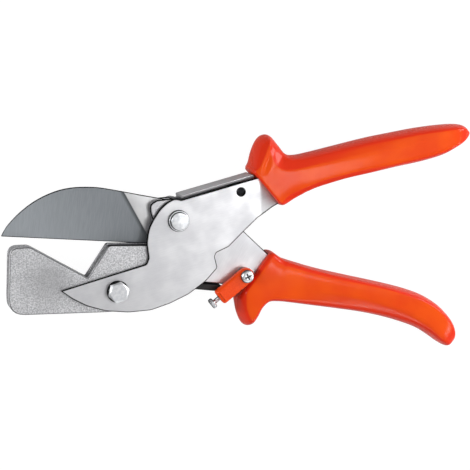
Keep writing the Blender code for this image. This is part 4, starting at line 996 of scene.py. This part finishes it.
# Front plate and cheeks: blanked sheet whose rims are rolled over, as shearing and tumbling
# leave them; the painted edge shade on the roll draws the dark line along an edge. Corners
# and holes are x, y, radius.

frontPlate = {
    "low": 6.0, "high": 8.0, "rim": 0.80,
    "corners": [
        (-60.6, -36.4, 0), (-16.3, -22.6, 2.1), (-15.3, -19.5, 1.4), (-16.6, -11.5, 14), (-15.6, -4, 14),
        (-13.2, 0.9, 14), (-10.2, 5.7, 14), (-6.5, 9.4, 14), (-2.3, 11.6, 7), (1, 10.8, 1.4),
        (40.8, 22.5, 0), (50.8, 25, 2.4), (112.4, 39.1, 2.4), (126.6, 40.2, 2.4), (114, 32.9, 2.4),
        (64.4, 19, 2.4), (58.5, 12.8, 2.4), (54.6, 9, 1), (50.8, 7.2, 6), (42.2, 1.7, 4), (35.3, -5.2, 14),
        (27, -13.7, 3.5), (20.6, -16.7, 1.4), (19.8, -18.7, 1.4), (21.5, -24.6, 2.1), (15.3, -31.8, 14),
        (6.6, -38.4, 14), (-3.4, -43.3, 14), (-13.1, -46.7, 14), (-25, -47.8, 21), (-37.2, -47, 21),
        (-47, -44.3, 14), (-54.5, -40.6, 7),
    ],
    "holes": [(*springAt, 2.2), (0.0, 0.0, 4.3), (*anvilBoltAt, 3.3)],
    "bend": {"from": 43.9, "to": 56.4, "turn": 4.5, "drop": 3.75, "soft": 0.9},
}
cheek = {
    "low": 3.5, "high": 5.7, "rim": 0.70,
    "corners": [
        (9, 8.8, 4.5), (1.2, 9.6, 9), (-3.7, 11.1, 2.3), (-11.1, 10.3, 3.6), (-14.6, 8.1, 3.6),
        (-14.4, 4.1, 3.6), (-12, -2.7, 4.5), (-9, -10.4, 9), (-1.2, -21.6, 9), (8.7, -32, 3.6),
        (24, -33.4, 2.3), (40.6, -38.7, 2.4), (50.2, -39.7, 2.4), (64.9, -39.9, 2.4), (109.6, -46, 2.4),
        (123.7, -48.1, 2.4), (112.1, -38.4, 2.4), (71.9, -29.6, 2.4), (50.5, -21.7, 2.4), (49.2, -18.1, 0),
        (24.5, 4.1, 5),
    ],
    "holes": [(0.0, 0.0, 5.6), (*catchAt, 2.0), (8.0, -6.7, 2.3), (-5.6, -8.1, 2.3)],
    "bend": None,
}
blankDetail = {"mostReach": 0.45, "arcSteps": 7, "rimSteps": 6, "support": 0.15, "holeChamfer": 0.3,
               "holeSteps": 48, "bendCuts": np.linspace(-1.4, 1.4, 8), "sharp": 35.0}


def filleted(corners):
    # Each corner's curve starts radius / tan(half angle) from it, as far as its sides allow
    places, radius = np.array(corners)[:, :2], np.array(corners)[:, 2]
    back, ahead = (np.roll(places, shift, axis=0) - places for shift in (1, -1))
    backLength = np.linalg.norm(back, axis=1)
    aheadLength = np.linalg.norm(ahead, axis=1)
    half = np.arccos(np.clip((back * ahead).sum(axis=1) / backLength / aheadLength, -1, 1)) / 2
    longest = np.minimum(backLength, aheadLength) * blankDetail["mostReach"]
    curve = softened(places, np.minimum(radius / np.tan(half), longest), blankDetail["arcSteps"])
    following = np.roll(curve, -1, axis=0)
    area = (curve[:, 0] * following[:, 1] - following[:, 0] * curve[:, 1]).sum()
    return curve if area > 0 else curve[::-1]


def bentIn(piece, bend):
    # The sheet's z falls by drop x progress along x cos(turn) + y sin(turn), with a parabola at
    # either end; the turn keeps the bend's lower end clear of the cheek when the jaw is closed
    soft = bend["soft"]
    turn = math.radians(bend["turn"])
    ahead = np.array((math.cos(turn), math.sin(turn), 0))
    bm = bmesh.new()
    bm.from_mesh(piece.data)
    for start in (bend["from"], bend["to"]):
        for share in blankDetail["bendCuts"]:
            bmesh.ops.bisect_plane(bm, geom=bm.verts[:] + bm.edges[:] + bm.faces[:], plane_no=ahead,
                                   plane_co=pivot + ahead * (start + share * soft) * mm)
    bmesh.ops.remove_doubles(bm, verts=bm.verts, dist=meshDetail["mergeMm"] * mm)
    bmesh.ops.triangulate(bm, faces=bm.faces[:])
    bm.to_mesh(piece.data)
    bm.free()
    points = np.empty(len(piece.data.vertices) * 3)
    piece.data.vertices.foreach_get("co", points)
    points = points.reshape(-1, 3)
    along = (points - pivot) @ ahead / mm
    ramps = [np.where(u > soft, u, np.where(u > -soft, (u + soft) ** 2 / (4 * soft), 0))
             for u in (along - bend["from"], along - bend["to"])]
    progress = (ramps[0] - ramps[1]) / (bend["to"] - bend["from"])
    points[:, 2] -= np.sign(points[:, 2] - pivot[2]) * bend["drop"] * mm * progress
    piece.data.vertices.foreach_set("co", points.ravel())
    piece.data.update()


def blankShape(spec):
    # Walls of the outline and of each chamfered hole, joined by flat faces above and below
    detail = blankDetail
    low, high, flare = spec["low"], spec["high"], detail["holeChamfer"]
    grids = [slabGrid(filleted(spec["corners"]), low, high, spec["rim"], detail["rimSteps"],
                      detail["support"])]
    for x, y, radius in spec["holes"]:
        profile = [(radius + flare, low), (radius, low + flare), (radius, high - flare),
                   (radius + flare, high)]
        grids.append(placed(turnedGrid(profile, detail["holeSteps"]), (x, y))[:, ::-1])
    points = np.concatenate([grid.reshape(-1, 3) for grid in grids])
    faces = []
    rims = ([], [])
    start = 0
    for grid in grids:
        rows, columns = grid.shape[:2]
        faces += (np.array(gridFaces(grid)) + start).tolist()
        rims[0].append(np.arange(columns) + start)
        rims[1].append(np.arange(columns) + start + (rows - 1) * columns)
        start += rows * columns
    for loops in rims:
        order = np.concatenate(loops)
        flat = [[Vector((x, y, 0)) for x, y, z in points[loop]] for loop in loops]
        faces += order[np.array(tessellate_polygon(flat))].tolist()
    return points, faces


def makeBlank(name, spec, side, finish, body, replaced):
    # The blank's shape, or its mirror image where the side is -1, with its bend pressed in
    points, faces = blankShape(spec)
    blank = addPiece(name, points * (1, 1, side), faces, finish, body, [replaced])
    if spec["bend"]:
        bentIn(blank, spec["bend"])
        blank.data.shade_smooth()
        blank.data.set_sharp_from_angle(angle=math.radians(blankDetail["sharp"]))


makeBlank("frontPlate", frontPlate, 1, plateNickel, fixedBody, "front_plate")
makeBlank("frontCheek", cheek, 1, forkNickel, movingBody, "front_cheek")
makeBlank("rearCheek", cheek, -1, forkNickel, movingBody, "rear_cheek")
print("plates made")


# Rear shell and blade: the CAD solids' own shapes with their rims rolled over

rolledRims = {                           # node: piece, roll in mm, finish, slot, body
    "rear_shell": ("rearShell", 0.35, shellNickel, "plated_steel", fixedBody),
    "blade": ("cutterBlade", 0.42, bladeSteel, "coated_blade", movingBody),
}
rollDetail = {
    "mergeMm": 0.001, "segments": 3,
    "flatWithin": 0.5,                   # degrees; edges that turn by less go
    "rolledFrom": 40.0,                  # degrees; edges that turn by more are rolled
}


def makeRolled(nodeName, pieceName, roll, finish, slotName, body):
    # A round bevel along every edge that turns by more than rolledFrom
    bm = bmesh.new()
    bm.from_mesh(frame["nodes"][nodeName].data)
    bmesh.ops.remove_doubles(bm, verts=bm.verts, dist=rollDetail["mergeMm"] * mm)
    bmesh.ops.dissolve_limit(bm, angle_limit=math.radians(rollDetail["flatWithin"]), verts=bm.verts,
                             edges=bm.edges)
    mesh = bpy.data.meshes.new(pieceName)
    bm.to_mesh(mesh)
    bm.free()
    mesh.shade_smooth()
    mesh.materials.clear()
    mesh.materials.append(finish)
    piece = bpy.data.objects.new(pieceName, mesh)
    bpy.context.scene.collection.objects.link(piece)
    bevel = piece.modifiers.new("rolled rim", "BEVEL")
    bevel.width = roll * mm
    bevel.segments = rollDetail["segments"]
    bevel.limit_method = "ANGLE"
    bevel.angle_limit = math.radians(rollDetail["rolledFrom"])
    bevel.use_clamp_overlap = False
    piece.modifiers.new("weighted normals", "WEIGHTED_NORMAL")
    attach(piece, body)
    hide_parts(nodeName)


for nodeName, spec in rolledRims.items():
    makeRolled(nodeName, *spec)
print("plates rolled")


# Anvil: a casting with rounded rims, its V ground to the blade's slot. Corners are x, y and
# the reach of their rounding.

anvilSpec = {
    "corners": [(-86.9, -14.3, 4.8), (-86.9, -49.3, 8.6), (-38.0, -48.0, 0.0), (-13.5, -46.5, 1.8),
                (-13.5, -12.8, 1.8), (-35.7, -13.0, 1.1), (-46.3, -30.0, 0.8), (-76.5, -13.9, 1.6)],
    "half": 5.7, "rim": 0.85, "steps": 7, "slot": 3.6, "slotFloor": [(-98.0, -49.6), (0.0, -15.2)],
    "slotTop": 10.0, "sharp": 40.0,
}


def makeAnvil(spec):
    # A slab cut by the slot's own slab, whose floor slants with the blade's edge
    corners = np.array(spec["corners"])
    outline = softened(corners[:, :2], corners[:, 2], spec["steps"])
    grid = slabGrid(outline, -spec["half"], spec["half"], spec["rim"], spec["steps"])
    anvil = addPiece("castAnvil", grid, slabFaces(grid), castGrey, fixedBody, ["anvil"],
                     spec["sharp"], flatCaps=True)
    low, high = spec["slotFloor"]
    slot = np.array([low, high, (high[0], spec["slotTop"]), (low[0], spec["slotTop"])])
    cutter = slabGrid(slot, -spec["slot"] / 2, spec["slot"] / 2, 0.0, 2)
    cutAway(anvil, cutter, slabFaces(cutter))


makeAnvil(anvilSpec)
print("anvil made")


# CAD nodes that keep their shape get their finish

finishes = (
    (greyPlate, ("front_packing", "rear_packing", "lower_core", "spring_sleeve")),
    (bushBronze, ("pivot_bush",)),
    (zinc, ("anvil_dowel", "catch_washer", "upper_rivet_1", "upper_rivet_2", "blade_rivet_1", "blade_rivet_2",
            "lower_rivet_1", "lower_rivet_2")),
)
for finish, nodeNames in finishes:
    for nodeName in nodeNames:
        node = frame["nodes"][nodeName]
        node.data.materials.clear()
        node.data.materials.append(finish)
print("CAD nodes finished")


# Studio: white paper below, a pale dome that darkens to the left, and six soft boxes

studio = {
    "brightSide": (0.75, -0.20, 0.65), "domeBright": 0.50, "domeDark": 0.12, "darkFrom": -0.3,
    "floorShare": 0.88, "mirroredShare": 0.06, "floorGlow": 1.10,
    "floorHalf": 3.0, "paper": "#D2D2D2", "paperRough": 0.9,
}
softBoxes = {                            # place and aim in m, size in m, watts
    "overheadBox": ((0.21, 0.10, 0.46), (0.03, 0.0, 0.0), (0.34, 0.34), 0.19),
    "smallBox": ((0.150, -0.004, 0.46), (0.03, 0.0, 0.02), (0.08, 0.08), 0.155),
    "keyBox": ((0.51, 0.24, 0.205), (0.02, 0.0, 0.0), (0.24, 0.24), 1.9),
    "leftStrip": ((-0.48, 0.06, 0.24), (0.0, 0.0, 0.0), (0.07, 0.45), 1.70),
    "nearStrip": ((0.08, -0.48, 0.36), (0.03, 0.0, 0.0), (0.50, 0.03), 0.60),
    "rightStrip": ((0.52, -0.12, 0.26), (0.05, 0.0, 0.0), (0.25, 0.08), 0.50),
}


def makeFloor():
    # Paper mixed with its own glow: floorShare for the camera, mirroredShare for what mirrors it
    mesh = bpy.data.meshes.new("floor")
    half = studio["floorHalf"]
    corners = [(-half, -half, 0), (half, -half, 0), (half, half, 0), (-half, half, 0)]
    mesh.from_pydata(corners, [], [(0, 1, 2, 3)])
    floor = bpy.data.objects.new("floor", mesh)
    bpy.context.scene.collection.objects.link(floor)
    material, tree = newMaterial("white paper sweep", {
        "Base Color": studio["paper"], "Roughness": studio["paperRough"]})[:2]
    rays = addNode(tree, "LightPath").outputs
    mirrored = worked(tree, "MAXIMUM", rays["Is Glossy Ray"], rays["Is Transmission Ray"])
    inMirror = worked(tree, "MULTIPLY", mirrored, studio["mirroredShare"])
    share = worked(tree, "MULTIPLY_ADD", rays["Is Camera Ray"], studio["floorShare"], inMirror)
    glow = addNode(tree, "Emission", {"Color": "#FFFFFF", "Strength": studio["floorGlow"]})
    paper = addNode(tree, "MixShader", {0: share, 1: tree.nodes["Principled BSDF"], 2: glow})
    feed(tree, tree.nodes["Material Output"], {"Surface": paper})
    mesh.materials.append(material)


def makeWorld():
    # Brightness by the cosine between a direction and the bright side; white for the camera
    world = bpy.data.worlds.new("studio dome")
    bpy.context.scene.world = world
    world.use_nodes = True
    tree = world.node_tree
    where = addNode(tree, "TexCoord").outputs["Generated"]
    towards = tuple(Vector(studio["brightSide"]).normalized())
    facing = addNode(tree, "VectorMath", {"operation": "DOT_PRODUCT", 0: where, 1: towards})
    level = ramp(tree, facing, (studio["darkFrom"], 1.0), (studio["domeDark"], studio["domeBright"]))
    camera = addNode(tree, "LightPath").outputs["Is Camera Ray"]
    seen = mixedLevel(tree, camera, level, 1.0)
    feed(tree, tree.nodes["Background"], {"Color": "#FFFFFF", "Strength": seen})


def makeSoftBox(name, place, aim, size, watts):
    # A rectangle of light that faces its aim and isn't seen itself
    light = bpy.data.lights.new(name, "AREA")
    light.shape = "RECTANGLE"
    light.size, light.size_y = size
    light.energy = watts
    lamp = bpy.data.objects.new(name, light)
    bpy.context.scene.collection.objects.link(lamp)
    lamp.location = place
    lamp.rotation_euler = (Vector(aim) - Vector(place)).to_track_quat("-Z", "Y").to_euler()
    lamp.visible_camera = False


makeFloor()
makeWorld()
for name, spec in softBoxes.items():
    makeSoftBox(name, *spec)
bpy.context.scene.view_settings.view_transform = "Standard"
print("studio lit")
